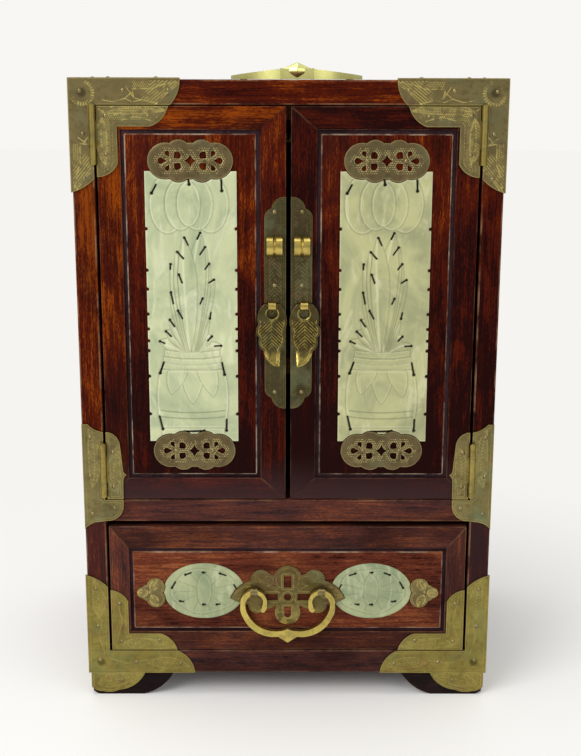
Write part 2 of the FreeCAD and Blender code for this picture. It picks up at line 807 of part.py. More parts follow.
def make_case_brass():
    """The corner pieces and hinge plates that stay on the case, their nails and the hinge pins."""
    face, flanges = top_corner_piece()
    face = face.cut(box(0, hinge_x, plate_face, front, divider_top, opening_top))
    corner = joined(case_leaf(face, upper_hinge_bottom), flanges)
    keep_pair("top_corner_plate", drilled(corner, top_corner_nails()[0]))
    plate = slab(hinge_plate_face(), brass)
    plate = plate.cut(box(0, hinge_x, plate_face, front, divider_top, opening_top))
    keep_pair("lower_hinge_plate", drilled(case_leaf(plate, lower_hinge_bottom), lower_hinge_nails()[0]))
    face, side = bottom_corner_piece()
    face = face.cut(box(0, opening_half, plate_face, front, drawer_floor, divider_bottom))
    keep_pair("bottom_corner_plate", drilled(joined(face, side), bottom_corner_nails()[0]))
    keep("case_nails", *nails_of(both_sides(case_nail_seats() + foot_plate_nails())))
    pins = [hinge_pin(upper_hinge_bottom), hinge_pin(lower_hinge_bottom)]
    keep("hinge_pins", *(pins + [mirrored(pin) for pin in pins]))


def keeper():
    """The steel disc in the back of the right door."""
    y = front + door_thickness - keeper_thickness
    centre = Vector(magnet_offset, y, magnet_height())
    return Part.makeCylinder(magnet_radius, keeper_thickness, centre, Vector(0, 1, 0))


def make_doors():
    """The wooden doors with their panels and plaques."""
    nails = top_corner_nails()[1] + lower_hinge_nails()[1] + lock_nails()
    cloud_nails = cloud_nail_seats(cloud_low) + cloud_nail_seats(cloud_high)
    members = mitred_frame(
        door_inner, door_outer, door_bottom, door_top, meeting_stile, door_stile, door_rail, door_rail,
        front, front + door_thickness)
    tongue = panel_tongue(panel_left, panel_right, panel_bottom, panel_top)
    members = [drilled(member.cut([tongue, keeper()]), nails) for member in members]
    keep_pair("door_frame", *members)
    panel = raised_panel(panel_left, panel_right, panel_bottom, panel_top)
    seat = box(
        plaque_x - plaque_width / 2, plaque_x + plaque_width / 2, panel_face, panel_face + stone_seat,
        plaque_z - plaque_height / 2, plaque_z + plaque_height / 2)
    keep_pair("door_panel", drilled(panel.cut(seat), cloud_nails))
    keep_pair("door_plaque", door_plaque())
    clouds = [cloud_plate(plaque_x, z) for z in (cloud_low, cloud_high)]
    keep_pair("door_cloud_plates", *[drilled(plate, cloud_nails) for plate in clouds])
    keep_pair("door_keeper", keeper())
    keep_pair("door_nails", *nails_of(nails + cloud_nails))


def make_door_brass():
    """The hinge leaves, lock plates, lock loops and pull straps of the doors."""
    zone = door_zone(plate_face, front)
    upper = door_leaf(top_corner_piece()[0].common(zone), upper_hinge_bottom)
    lower = door_leaf(slab(hinge_plate_face(), brass).common(zone), lower_hinge_bottom)
    leaves = [drilled(upper, top_corner_nails()[1]), drilled(lower, lower_hinge_nails()[1])]
    keep_pair("door_hinge_plates", *leaves)
    keep_pair("lock_plate", drilled(lock_plate(), lock_nails()))
    strap = eye(pull_x, pull_y, pull_z, pull_bar_radius, pull_strap_width, plate_face)
    keep_pair("door_loops", lock_loop(), strap)


def lock_plate():
    """The right half of the lock plate, with stepped round ends."""
    x0, x1 = door_inner, door_inner + lock_plate_width
    z0, z1 = lock_plate_bottom, lock_plate_top
    return slab(outline_face(
        on_front, (x0, z0), ((x0 + 5.6, z0 + 1.9), (x0 + 7.8, z0 + 6.2)),
        ((x1 - 1.4, z0 + 7.6), (x1, z0 + 10.8)), (x1, z1 - 10.8),
        ((x1 - 1.4, z1 - 7.6), (x0 + 7.8, z1 - 6.2)), ((x0 + 5.6, z1 - 1.9), (x0, z1))), brass)


def lock_loop():
    """A two-lobed strap arched out from the lock plate, open sideways for a lock pin."""
    outer = lock_loop_height / 2
    inner = outer - lock_loop_wall
    axis_y = plate_face - (lock_loop_reach - outer)
    x0 = lock_x - lock_loop_width / 2
    arch = Part.makeCylinder(outer, lock_loop_width, Vector(x0, axis_y, lock_loop_z), Vector(1, 0, 0))
    legs = box(x0, x0 + lock_loop_width, axis_y, plate_face, lock_loop_z - outer, lock_loop_z + outer)
    solid = joined(arch.common(box(x0, x0 + lock_loop_width, axis_y - outer, axis_y, 0, case_top)), legs)
    bore = Part.makeCylinder(inner, lock_loop_width, Vector(x0, axis_y, lock_loop_z), Vector(1, 0, 0))
    gap = box(x0, x0 + lock_loop_width, axis_y, plate_face, lock_loop_z - inner, lock_loop_z + inner)
    flute = flute_ring(axis_y, outer)
    return solid.cut([bore, gap, flute])


def flute_ring(axis_y, outer):
    """The groove between the two lobes of a lock loop."""
    depth, half = lock_loop_flute, lock_loop_flute * 1.6
    edge = axis_y - outer
    points = [(lock_x - half, edge - 0.1), (lock_x + half, edge - 0.1), (lock_x, edge + depth)]
    face = outline_face(lambda x, y: Vector(x, y, lock_loop_z), *points)
    return face.revolve(Vector(lock_x, axis_y, lock_loop_z), Vector(1, 0, 0), 360)


def leaf_face(hole_z, y):
    """The scalloped outline of the right leaf pull, with its slanting tip towards the gap of the doors."""
    top, tip = pull_z + pull_bar_radius + 0.1 - hole_z, pull_z - pull_length - hole_z
    return outline_face(
        lambda x, z: Vector(pull_x + x, y, hole_z + z), (-3.9, top), ((-7.9, -4.6), (-6.4, -10.2)),
        ((-6.9, -14.4), (-4.4, -20.2)), (-3.9, tip), ((1.8, tip + 2.7), (4.6, -20.6)),
        ((7.2, -17.4), (7.0, -13.4)), ((8.8, -10.0), (7.5, -6.2)), ((8.0, -2.2), (4.4, top)))


def make_pulls():
    """The leaf pulls that hang from straps on the lock plates."""
    y0, y1 = pull_y - pull_thickness / 2, pull_y + pull_thickness / 2
    hole_z = pull_z - pull_hole_radius - pull_bar_radius
    tip_z = pull_z - pull_length
    leaf = slab(leaf_face(hole_z, y1), pull_thickness + pull_tip_reach)
    leaf = leaf.cut(tip_cutter(tip_z, hole_z - 19.0))
    reach = pull_strap_width / 2 + strap_clearance
    clear = box(pull_x - reach, pull_x + reach, y0, y1, hole_z, pull_z + 2 * pull_bar_radius)
    bar = Part.makeCylinder(pull_bar_radius, 2 * reach + 0.4, Vector(pull_x - reach - 0.2, pull_y, pull_z), Vector(1, 0, 0))
    leaf = leaf.cut([disc(pull_x, hole_z, pull_hole_radius, y0, y1), clear])
    keep_pair("leaf_pull", joined(leaf, bar))


def tip_cutter(tip_z, root_z):
    """What is cut from the front of a leaf, so that only its tip slopes outwards to its end."""
    y_root = pull_y - pull_thickness / 2
    y_tip = y_root - pull_tip_reach
    high = pull_z + 2 * pull_bar_radius
    face = outline_face(
        lambda y, z: Vector(pull_x - 10, y, z), (y_root, high), (y_root, root_z), (y_tip, tip_z + 3.0),
        (y_tip - 1.0, tip_z + 3.0), (y_tip - 1.0, high))
    return slab(face, 20, Vector(1, 0, 0))


def make_drawer():
    """The drawer: a framed front, a box behind it and a fabric-covered lining."""
    seats = both_sides(bottom_corner_nails()[1])
    panel_seats = both_sides(end_plate_seats())
    members = mitred_frame(
        -drawer_half, drawer_half, drawer_bottom, drawer_top, drawer_stile, drawer_stile,
        drawer_bottom_rail, drawer_top_rail, front, front + drawer_front_thickness)
    wide = drawer_panel_half
    tongue = panel_tongue(-wide, wide, drawer_panel_bottom, drawer_panel_top)
    floor_z = drawer_box_bottom + drawer_bottom_lift
    inner = drawer_half - drawer_wall
    box_front = front + drawer_front_thickness
    floor = box(
        -inner - drawer_groove, inner + drawer_groove, box_front, drawer_back - drawer_wall + drawer_groove,
        floor_z, floor_z + drawer_bottom_thickness)
    keep("drawer_front_frame", *[drilled(member.cut(tongue), seats) for member in members])
    panel = raised_panel(-wide, wide, drawer_panel_bottom, drawer_panel_top)
    ovals = [drawer_oval(side, 0) for side in (-1, 1)]
    keep("drawer_front_panel", drilled(panel.cut(ovals), panel_seats))
    side = box(inner, drawer_half, box_front, drawer_back, drawer_box_bottom, drawer_box_top).cut(floor)
    keep("drawer_sides", side, mirrored(side))
    rear = box(-inner, inner, drawer_back - drawer_wall, drawer_back, drawer_box_bottom, drawer_box_top)
    keep("drawer_back", rear.cut(floor))
    keep("drawer_bottom", floor)
    keep("drawer_lining", *drawer_lining(inner, box_front, floor_z + drawer_bottom_thickness))


def drawer_lining(inner, y0, z0):
    """The fabric-covered cards inside the drawer: a floor, a front, a back and two sides."""
    y1 = drawer_back - drawer_wall
    wall = lining_thickness
    low, high = z0 + wall, z0 + drawer_lining_height
    return [
        box(-inner, inner, y0, y1, z0, low),
        box(-inner, inner, y0, y0 + wall, low, high),
        box(-inner, inner, y1 - wall, y1, low, high),
        box(-inner, -inner + wall, y0 + wall, y1 - wall, low, high),
        box(inner - wall, inner, y0 + wall, y1 - wall, low, high),
    ]


def drawer_oval(side, proud):
    """One stone oval of the drawer, proud of the panel by the given height."""
    ellipse = Part.Ellipse(Vector(side * oval_x, panel_face + stone_seat, bail_z + 3.6), oval_width / 2, oval_height / 2)
    edge = ellipse.toShape()
    edge.rotate(Vector(side * oval_x, panel_face + stone_seat, bail_z + 3.6), Vector(1, 0, 0), 90)
    return slab(Part.Face(Part.Wire([edge])), stone_seat + proud)


def end_plate(grow=0.0, thickness=brass):
    """A three-lobed plate at the outer end of the right oval."""
    seat = end_plate_seats()[0][0]
    radius = end_plate_lobe_radius
    lobes = [(0.6, 0, radius * 0.98), (radius * 0.8, 0, radius * 0.65)]
    lobes += [(-radius * 0.62, up * radius * 0.7, radius) for up in (-1, 1)]
    return lobed_plate(seat.x, seat.z, lobes, panel_face - thickness, panel_face, grow)


def bail_plate_body(grow=0.0, thickness=brass):
    """The winged plate behind the drawer bail, without its slots."""
    y0, y1 = panel_face - thickness, panel_face
    middle = [(0, 10.9, 8.1), (0, -9.6, 7.3), (0, 0, 9.0)]
    rounds = []
    for side in (-1, 1):
        rounds += [(side * 15.2, 10.6, 6.0), (side * 12.5, 0.6, 7.8), (side * 17.8, -5.0, 4.8)]
    body = lobed_plate(0, bail_z, middle + rounds, y0, y1, grow)
    tip = bail_plate_half_width
    wings = []
    for side in (-1, 1):
        wing = outline_face(
            lambda dx, dz: Vector(side * dx, y1, bail_z + dz), (10.0, 10.0), (17.0, 11.0 + grow),
            ((tip - 5.8, 6.8 + grow), (tip + grow, -0.8)), ((tip - 6.0, -3.4 - grow), (17.0, -6.0 - grow)), (10.0, -6.0))
        wings.append(slab(wing, thickness))
    return joined(body, *wings)


def bail_plate():
    """The pierced plate behind the drawer bail."""
    y0, y1 = panel_face - brass, panel_face
    slots = [
        box(-2.2, 2.2, y0, y1, bail_z + 5.8, bail_z + 13.0), box(-1.9, 1.9, y0, y1, bail_z - 10.7, bail_z - 6.1),
        disc(0, bail_z - 10.7, 1.9, y0, y1), disc(0, bail_z, 2.1, y0, y1),
        box(-12.6, -5.6, y0, y1, bail_z - 2.0, bail_z + 2.0), box(5.6, 12.6, y0, y1, bail_z - 2.0, bail_z + 2.0),
    ]
    return bail_plate_body().cut(slots)


def bail_half():
    """The right half of the drawer bail, measured from the middle of its plate."""
    wide, drop = bail_half_width, bail_drop
    y1 = bail_y + bail_thickness / 2
    x = bail_spread
    face = outline_face(
        lambda dx, dz: Vector(dx, y1, bail_z + dz), (0, -drop), (5.4, 3.6 - drop), (8.6, 3.4 - drop),
        ((wide - 7.4, 7.6 - drop), (wide - 1.4, -10.6)), ((wide, -6.8), (wide, -3.0)),
        ((wide - 2.0, bail_rise - 1.0), (x, bail_rise + 1.6)), ((x - 5.2, bail_rise - 0.6), (x - 7.2, -3.0)),
        ((x - 7.0, -5.6), (x - 6.0, -7.2)), ((x - 4.3, -7.4), (x - 3.8, -5.9)), ((x - 4.5, -4.6), (x - 4.8, -3.0)),
        ((x - 3.6, bail_rise - 2.0), (x, bail_rise - 1.0)), ((wide - 4.0, 0.8), (wide - 2.7, -3.0)),
        ((wide - 3.0, -6.0), (wide - 4.2, -9.0)), ((wide - 9.4, 10.6 - drop), (0, 8.2 - drop)))
    return slab(face, bail_thickness)


def make_drawer_brass():
    """The stone ovals, plates, straps, nails and bail of the drawer front."""
    under = [bail_plate_body(stone_lip_gap, 2 * stone_proud), end_plate(stone_lip_gap, 2 * stone_proud),
             mirrored(end_plate(stone_lip_gap, 2 * stone_proud))]
    keep("drawer_ovals", *[drawer_oval(side, stone_proud).cut(under) for side in (-1, 1)])
    face = bottom_corner_piece()[0]
    corner = face.common(box(0, drawer_half, plate_face, front, drawer_bottom, drawer_top))
    corner = drilled(corner, bottom_corner_nails()[1])
    keep("drawer_corner_plates", corner, mirrored(corner))
    plate = drilled(end_plate(), end_plate_seats())
    keep("drawer_end_plates", plate, mirrored(plate))
    keep("drawer_bail_plate", bail_plate())
    seat = panel_face - brass
    strap = eye(bail_spread, bail_y, bail_axis_z, bail_bar_radius, bail_strap_width, seat)
    keep("drawer_bail_straps", strap, mirrored(strap))
    keep("drawer_nails", *nails_of(both_sides(bottom_corner_nails()[1] + end_plate_seats())))
    half = bail_half()
    reach = bail_strap_width / 2 + strap_clearance
    clear = bail_bar_radius + 2 * strap_clearance + strap_wall
    gap = box(bail_spread - reach, bail_spread + reach, bail_y - bail_thickness, bail_y + bail_thickness,
              bail_axis_z - clear, bail_axis_z + clear)
    bar = Part.makeCylinder(
        bail_bar_radius, 2 * reach + 0.6, Vector(bail_spread - reach - 0.3, bail_y, bail_axis_z), Vector(1, 0, 0))
    half = joined(half.cut(gap), bar)
    keep("drawer_bail", joined(half, mirrored(half)))


def handle_plan():
    """The right half of the top handle seen from above, measured to the front from its turning axis."""
    wide, reach, bar = handle_half_width, handle_reach, handle_bar_width
    x = handle_spread + handle_strap_width / 2 + strap_clearance
    heel = handle_bar_radius
    return outline_face(
        lambda dx, dy: Vector(dx, handle_y - dy, case_top), (0, reach), (handle_bead_length / 2, reach),
        ((wide - 5.6, reach * 0.62), (wide, 7.0)), ((wide - 0.7, 1.4), (wide - 2.2, -heel)), (x, -heel),
        (x, heel), ((wide - 4.2, 3.4), (wide - 3.8, 7.0)),
        ((wide - 10.6, reach * 0.55), (handle_bead_length / 2, reach - bar)), (0, reach - bar))


def handle_profile():
    """The right half of the top handle seen from the front: low at its turning axis, high at its bead."""
    wide, high = handle_half_width, handle_bar_height
    low = handle_rest_gap + 0.1
    end = handle_pivot_height + handle_bar_radius - 0.2
    return outline_face(
        lambda dx, dz: Vector(dx, handle_y + 2 * handle_bar_radius, case_top + dz), (0, low), (wide, low), (wide, end),
        ((wide * 0.66, high - 2.0), (handle_bead_length / 2, high)), (0, high))


def handle_heel_waste():
    """What is taken off behind the turning axis, so that the round heel clears the top as it turns."""
    heel = handle_bar_radius + 0.3
    space = box(0, 2 * handle_half_width, handle_y, handle_y + 3 * heel, case_top - heel, case_top + 3 * handle_bar_height)
    round_heel = Part.makeCylinder(heel, 2 * handle_half_width, Vector(0, handle_y, handle_axis_z), Vector(1, 0, 0))
    return space.cut(round_heel)


def handle_bead():
    """The bead at the middle of the top handle, two cones base to base, with a square collar at each end."""
    half = handle_bead_length / 2
    y, z = handle_y - handle_bead_centre, case_top + handle_bead_height
    end, crown = handle_bead_radius * 0.25, handle_bead_radius
    face = outline_face(
        lambda x, r: Vector(x, y, z + r), (-half, 0), (-half, end), ((-half * 0.5, crown * 0.64), (-0.3, crown)),
        (0.3, crown), ((half * 0.5, crown * 0.64), (half, end)), (half, 0))
    bead = face.revolve(Vector(0, y, z), Vector(1, 0, 0), 360)
    deep = handle_bar_width / 2 + 0.3
    collars = [box(x, x + 1.4, y - deep, y + deep, case_top + handle_rest_gap, case_top + handle_bar_height + 0.3)
               for x in (-half - 1.2, half - 0.2)]
    return joined(bead, *collars)


def make_top_handle():
    """The carrying handle, which lies forward on the top, and the two straps that hold it."""
    aside = Vector(handle_offset, 0, 0)
    plan = slab(handle_plan(), handle_bar_height, Vector(0, 0, 1))
    half = plan.common(slab(handle_profile(), handle_reach + 3 * handle_bar_radius))
    half = half.cut(handle_heel_waste())
    reach = handle_strap_width / 2 + strap_clearance
    axis = Vector(handle_spread - reach - 1.2, handle_y, handle_axis_z)
    bar = Part.makeCylinder(handle_bar_radius, 2 * reach + 2.0, axis, Vector(1, 0, 0))
    knob = Part.makeSphere(handle_bar_radius * 1.3, axis)
    half = joined(half, bar, knob)
    handle = joined(half, mirrored(half), handle_bead())
    strap = handle_strap()
    keep("top_handle_bail", handle.translated(aside))
    keep("top_handle_posts", strap.translated(aside), mirrored(strap).translated(aside))


def handle_strap():
    """The bent strap on the right that holds the top handle."""
    outer = handle_bar_radius + strap_clearance + handle_strap_wall
    x0 = handle_spread - handle_strap_width / 2
    ring = Part.makeCylinder(outer, handle_strap_width, Vector(x0, handle_y, handle_axis_z), Vector(1, 0, 0))
    above = box(x0, x0 + handle_strap_width, handle_y - outer, handle_y + outer, case_top, handle_axis_z + outer)
    legs = box(x0, x0 + handle_strap_width, handle_y - outer, handle_y + outer, case_top, handle_axis_z)
    bore = Part.makeCylinder(
        handle_bar_radius + strap_clearance, handle_strap_width, Vector(x0, handle_y, handle_axis_z), Vector(1, 0, 0))
    return joined(ring.common(above), legs).cut(bore)


def save():
    """Write each piece to its own file and say how many solids it holds."""
    os.makedirs("parts", exist_ok=True)
    for name, solids in sorted(nodes.items()):
        pieces = [piece for solid in solids for piece in solid.Solids]
        shape = pieces[0] if len(pieces) == 1 else Part.makeCompound(pieces)
        shape.exportStep(os.path.join("parts", name + ".step"))
        state = "valid" if all(piece.isValid() for piece in pieces) else "NOT VALID"
        print(name, len(pieces), "solids", state, round(shape.Volume, 1))
    print(len(nodes), "nodes")


make_boards()
make_inside()
make_feet()
make_case_brass()
make_doors()
make_door_brass()
make_pulls()
make_drawer()
make_drawer_brass()
make_top_handle()
save()
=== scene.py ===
"""A small jewelry cabinet: two doors over a drawer, with carved stone, engraved brass and worn red-brown wood."""

import logging
import math
from dataclasses import dataclass, field
from enum import Enum
from functools import partial
from typing import Callable, Optional, Sequence, Union

import bmesh
import bpy
import numpy as np
from mathutils import Matrix, Vector


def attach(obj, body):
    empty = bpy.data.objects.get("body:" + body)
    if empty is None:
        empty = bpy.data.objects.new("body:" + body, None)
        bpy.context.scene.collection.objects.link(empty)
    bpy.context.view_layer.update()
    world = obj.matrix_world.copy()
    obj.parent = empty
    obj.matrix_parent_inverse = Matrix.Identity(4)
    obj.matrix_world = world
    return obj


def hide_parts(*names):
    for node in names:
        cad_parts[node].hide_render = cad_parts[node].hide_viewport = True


LOG = logging.getLogger("jewelry_cabinet")
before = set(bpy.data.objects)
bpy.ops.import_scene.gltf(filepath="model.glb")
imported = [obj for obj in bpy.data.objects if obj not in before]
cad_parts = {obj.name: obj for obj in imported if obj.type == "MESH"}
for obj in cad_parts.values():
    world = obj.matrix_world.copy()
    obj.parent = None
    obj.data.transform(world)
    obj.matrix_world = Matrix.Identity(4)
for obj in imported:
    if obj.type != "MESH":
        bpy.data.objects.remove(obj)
MM = 0.001

Point = tuple[float, float]
Step = Union[Point, tuple[Point, Point]]
Triple = tuple[float, float, float]
Colour = Triple
Array = np.ndarray
Marks = dict[str, Array]
Field = Callable[[Array], Array]
Work = Callable[[Array], Marks]
Mesh = bmesh.types.BMesh
Piece = bpy.types.Object
Material = bpy.types.Material
Finishes = dict[str, Material]
Tree = bpy.types.NodeTree
Node = bpy.types.Node
Socket = bpy.types.NodeSocket

HANDS = ("right", "left")
FAR = 1e9
GRAIN_SHIFT = (13.7, 5.1, 8.9)
SHIFT_STEP = 7.3


class Seat(Enum):
    """The face of the cabinet that a worked sheet lies on."""

    FRONT = "front"
    SIDE = "side"
    TOP = "top"


class Grain(Enum):
    """Which way the grain of a board runs, as the order of the axes with the grain first."""

    UPRIGHT = "ZXY"
    ACROSS = "XZY"
    DEEP = "YXZ"


# ---- flat outlines, in millimetres


@dataclass(frozen=True)
class Shape:
    """A flat outline held as a signed distance, below zero inside."""

    distance: Field

    def __or__(self, other: "Shape") -> "Shape":
        """Both outlines together."""
        return Shape(lambda p: np.minimum(self.distance(p), other.distance(p)))

    def __and__(self, other: "Shape") -> "Shape":
        """What lies in both outlines."""
        return Shape(lambda p: np.maximum(self.distance(p), other.distance(p)))

    def __sub__(self, other: "Shape") -> "Shape":
        """This outline without the other."""
        return Shape(lambda p: np.maximum(self.distance(p), -other.distance(p)))

    def grown(self, by: float) -> "Shape":
        """The outline moved outwards."""
        return Shape(lambda p: self.distance(p) - by)

    def moved(self, x: float, z: float) -> "Shape":
        """The outline in another place."""
        return Shape(lambda p: self.distance(p - np.array((x, z))))


def rounds(circles: Sequence[Triple]) -> Shape:
    """An outline made of round lobes, each an X, a Z and a radius."""
    return Shape(lambda p: np.min([np.hypot(p[:, 0] - x, p[:, 1] - z) - r for x, z, r in circles], axis=0))


def block(x0: float, x1: float, z0: float, z1: float) -> Shape:
    """A rectangle.

    Args:
        x0: Left edge.
        x1: Right edge.
        z0: Lower edge.
        z1: Upper edge.

    Returns:
        The outline.
    """
    def distance(p: Array) -> Array:
        """The signed distance."""
        dx = np.abs(p[:, 0] - (x0 + x1) / 2) - (x1 - x0) / 2
        dz = np.abs(p[:, 1] - (z0 + z1) / 2) - (z1 - z0) / 2
        outside = np.hypot(np.maximum(dx, 0), np.maximum(dz, 0))
        return outside + np.minimum(np.maximum(dx, dz), 0)
    return Shape(distance)


def ellipse(x: float, z: float, wide: float, high: float) -> Shape:
    """An upright ellipse from its middle and half sizes.

    Args:
        x: Its middle's X.
        z: Its middle's Z.
        wide: Half its width.
        high: Half its height.

    Returns:
        The outline.
    """
    def distance(p: Array) -> Array:
        """The signed distance."""
        dx, dz = p[:, 0] - x, p[:, 1] - z
        reach = np.hypot(dx / wide, dz / high)
        slope = np.hypot(dx / wide ** 2, dz / high ** 2)
        return reach * (reach - 1) / np.maximum(slope, 1e-6)
    return Shape(distance)


def bar(start: Point, end: Point, radius: float) -> Shape:
    """A round-ended bar between two points.

    Args:
        start: One end.
        end: The other end.
        radius: Half its thickness.

    Returns:
        The outline.
    """
    a, b = np.array(start), np.array(end)

    def distance(p: Array) -> Array:
        """The signed distance."""
        edge = b - a
        share = np.clip(((p - a) @ edge) / max(edge @ edge, 1e-9), 0, 1)
        return np.hypot(*((p - a) - share[:, None] * edge).T) - radius
    return Shape(distance)


def arc(start: Point, via: Point, end: Point, count: int = 14) -> list[Point]:
    """Points on the arc from start through via to end, without its start.

    Args:
        start: Where it starts.
        via: A point on it.
        end: Where it ends.
        count: How many pieces it has.

    Returns:
        The points.
    """
    (ax, az), (bx, bz), (cx, cz) = start, via, end
    det = 2 * (ax * (bz - cz) + bx * (cz - az) + cx * (az - bz))
    if abs(det) < 1e-6:
        return [via, end]
    squares = [x * x + z * z for x, z in (start, via, end)]
    mx = (squares[0] * (bz - cz) + squares[1] * (cz - az) + squares[2] * (az - bz)) / det
    mz = (squares[0] * (cx - bx) + squares[1] * (ax - cx) + squares[2] * (bx - ax)) / det
    radius = math.hypot(ax - mx, az - mz)
    first, middle, last = (math.atan2(z - mz, x - mx) for x, z in (start, via, end))
    turn = (last - first) % (2 * math.pi)
    if (middle - first) % (2 * math.pi) > turn:
        turn -= 2 * math.pi
    angles = [first + turn * n / count for n in range(1, count + 1)]
    return [(mx + radius * math.cos(a), mz + radius * math.sin(a)) for a in angles]


def outline(start: Point, *steps: Step) -> list[Point]:
    """Corner points of an outline.

    Args:
        start: Where the outline starts.
        steps: Each is a point to go straight to, or a pair of a point passed and an arc's end.

    Returns:
        The points in order, with arcs divided.
    """
    points = [start]
    for step in steps:
        if isinstance(step[0], tuple):
            points += arc(points[-1], step[0], step[1])
        else:
            points.append(step)
    return points


def polygon(corners: Sequence[Point]) -> Shape:
    """The area inside some corner points.

    Args:
        corners: The points in order.

    Returns:
        The outline.
    """
    ring = np.array(corners, float)

    def distance(p: Array) -> Array:
        """The signed distance."""
        best = np.full(len(p), FAR)
        inside = np.zeros(len(p), bool)
        for a, b in zip(ring, np.roll(ring, -1, axis=0)):
            edge = b - a
            if edge @ edge < 1e-12:
                continue
            rel = p - a
            share = np.clip((rel @ edge) / (edge @ edge), 0, 1)
            best = np.minimum(best, ((rel - share[:, None] * edge) ** 2).sum(axis=1))
            crosses = (a[1] <= p[:, 1]) != (b[1] <= p[:, 1])
            rise = edge[1] if abs(edge[1]) > 1e-12 else 1e-12
            inside ^= crosses & (p[:, 0] < a[0] + edge[0] * (p[:, 1] - a[1]) / rise)
        return np.sqrt(best) * np.where(inside, -1, 1)
    return Shape(distance)


# ---- marks of the carver and engraver


def ease(low: float, high: float, value: Array) -> Array:
    """A smooth step from 0 at low to 1 at high."""
    share = np.clip((value - low) / (high - low), 0, 1)
    return share * share * (3 - 2 * share)


def most(values: Sequence[Array]) -> Array:
    """The greatest of some values at each point."""
    return np.maximum.reduce(values)


def line(distance: Array, width: float) -> Array:
    """A soft line, 1 in its middle, where the distance is near nothing."""
    return 1 - ease(width * 0.25, width * 0.6, np.abs(distance))


def strokes(p: Array, paths: Sequence[Sequence[Point]], width: float) -> Array:
    """Cut lines along some paths of points."""
    steps = [bar(a, b, 0.0).distance(p) for path in paths for a, b in zip(path[:-1], path[1:])]
    return line(np.minimum.reduce(steps), width)


def ripple(along: Array, pitch: float) -> Array:
    """Evenly spaced soft ridges, from 0 to 1."""
    return 0.5 + 0.5 * np.cos(2 * math.pi * along / pitch)


def stipple(p: Array, pitch: float) -> Array:
    """Punched dots in staggered rows, from 0 to 1.

    Args:
        p: The points.
        pitch: How far apart the dots are.

    Returns:
        How strong the dots are at each point.
    """
    row = np.floor(p[:, 1] / (pitch * 0.87))
    dx = (p[:, 0] / pitch + 0.5 * (row % 2)) % 1 - 0.5
    dz = (p[:, 1] / (pitch * 0.87)) % 1 - 0.5
    return 1 - ease(0.12, 0.45, np.hypot(dx, dz))


def follow(p: Array, curve: Array) -> tuple[Array, Array]:
    """How far points lie from a curve, and where along it.

    Args:
        p: The points.
        curve: Points of the curve in order.

    Returns:
        The distance to the curve, above zero on its left, and the length along it to the nearest place.
    """
    best = np.full(len(p), FAR)
    side, along = np.zeros(len(p)), np.zeros(len(p))
    gone = 0.0
    for a, b in zip(curve[:-1], curve[1:]):
        edge = b - a
        size = math.hypot(*edge)
        rel = p - a
        share = np.clip((rel @ edge) / size ** 2, 0, 1)
        off = rel - share[:, None] * edge
        far = np.hypot(off[:, 0], off[:, 1])
        nearer = far < best
        sign = np.sign(edge[0] * rel[:, 1] - edge[1] * rel[:, 0])
        best = np.where(nearer, far, best)
        side = np.where(nearer, far * sign, side)
        along = np.where(nearer, gone + share * size, along)
        gone += size
    return side, along


def bend(start: Point, pull: Point, end: Point, count: int = 12) -> Array:
    """Points of a curve that leaves start towards pull and comes to end."""
    t = np.linspace(0, 1, count + 1)[:, None]
    return (1 - t) ** 2 * np.array(start) + 2 * t * (1 - t) * np.array(pull) + t ** 2 * np.array(end)


@dataclass(frozen=True)
class Frond:
    """A long leaf along a curve, as carved or engraved."""

    start: Point
    pull: Point
    end: Point
    width: float
    fullest: float = 0.45

    def fit(self, p: Array) -> tuple[Array, Array, Array]:
        """The distance from the leaf's rib, the length along it and the leaf's half width there.

        Args:
            p: The points.

        Returns:
            The three values at each point.
        """
        curve = bend(self.start, self.pull, self.end)
        side, along = follow(p, curve)
        share = along / float(np.hypot(*np.diff(curve, axis=0).T).sum())
        swell = np.where(share < self.fullest, share / self.fullest, (1 - share) / (1 - self.fullest))
        half = self.width * np.sin(np.clip(swell, 0, 1) * math.pi / 2) ** 0.8
        return side, along, half


def engraved_leaf(p: Array, leaf: Frond, pitch: float) -> Array:
    """The cut lines of an engraved leaf: its edge, its rib and its slanting veins, from 0 to 1.

    Args:
        p: The points.
        leaf: The leaf.
        pitch: How far apart its veins are.

    Returns:
        How much is cut at each point.
    """
    side, along, half = leaf.fit(p)
    inside = half - np.abs(side)
    veins = ripple(along - np.abs(side) * 0.9, pitch) ** 1.5 * ease(0.2, 0.5, inside)
    return most([veins * 0.9, line(inside, 0.8), line(side, 0.6) * (inside > 0)])


# ---- making meshes


def finished(mesh: Mesh, name: str, sharp: float = 35.0, smooth: bool = True) -> Piece:
    """Turn a bmesh into a named object.

    Args:
        mesh: The shape, in metres and in place. It is freed.
        name: The object's name.
        sharp: Edges that turn more than this many degrees stay sharp.
        smooth: Whether faces are shaded smooth.

    Returns:
        The object, at the origin.
    """
    data = bpy.data.meshes.new(name)
    mesh.to_mesh(data)
    mesh.free()
    if smooth:
        data.shade_smooth()
        data.set_sharp_from_angle(angle=math.radians(sharp))
    thing = bpy.data.objects.new(name, data)
    bpy.context.scene.collection.objects.link(thing)
    return thing


def place_on(seat: Seat, face: float) -> Matrix:
    """The matrix that lays a flat drawing in millimetres on a face of the cabinet.

    Args:
        seat: The face. On the side the drawing's X runs to the back, and on the top its Z does.
        face: Where that face is, in metres.

    Returns:
        A matrix from the drawing, with its height as third number, to the frame.
    """
    columns = {
        Seat.FRONT: ((1, 0, 0), (0, 0, 1), (0, -1, 0), (0, face, 0)),
        Seat.SIDE: ((0, 1, 0), (0, 0, 1), (1, 0, 0), (face, 0, 0)),
        Seat.TOP: ((1, 0, 0), (0, 1, 0), (0, 0, 1), (0, 0, face)),
    }[seat]
    turn = Matrix([[columns[c][r] for c in range(3)] for r in range(3)]).to_4x4()
    return Matrix.Translation(columns[3]) @ turn @ Matrix.Scale(MM, 4)


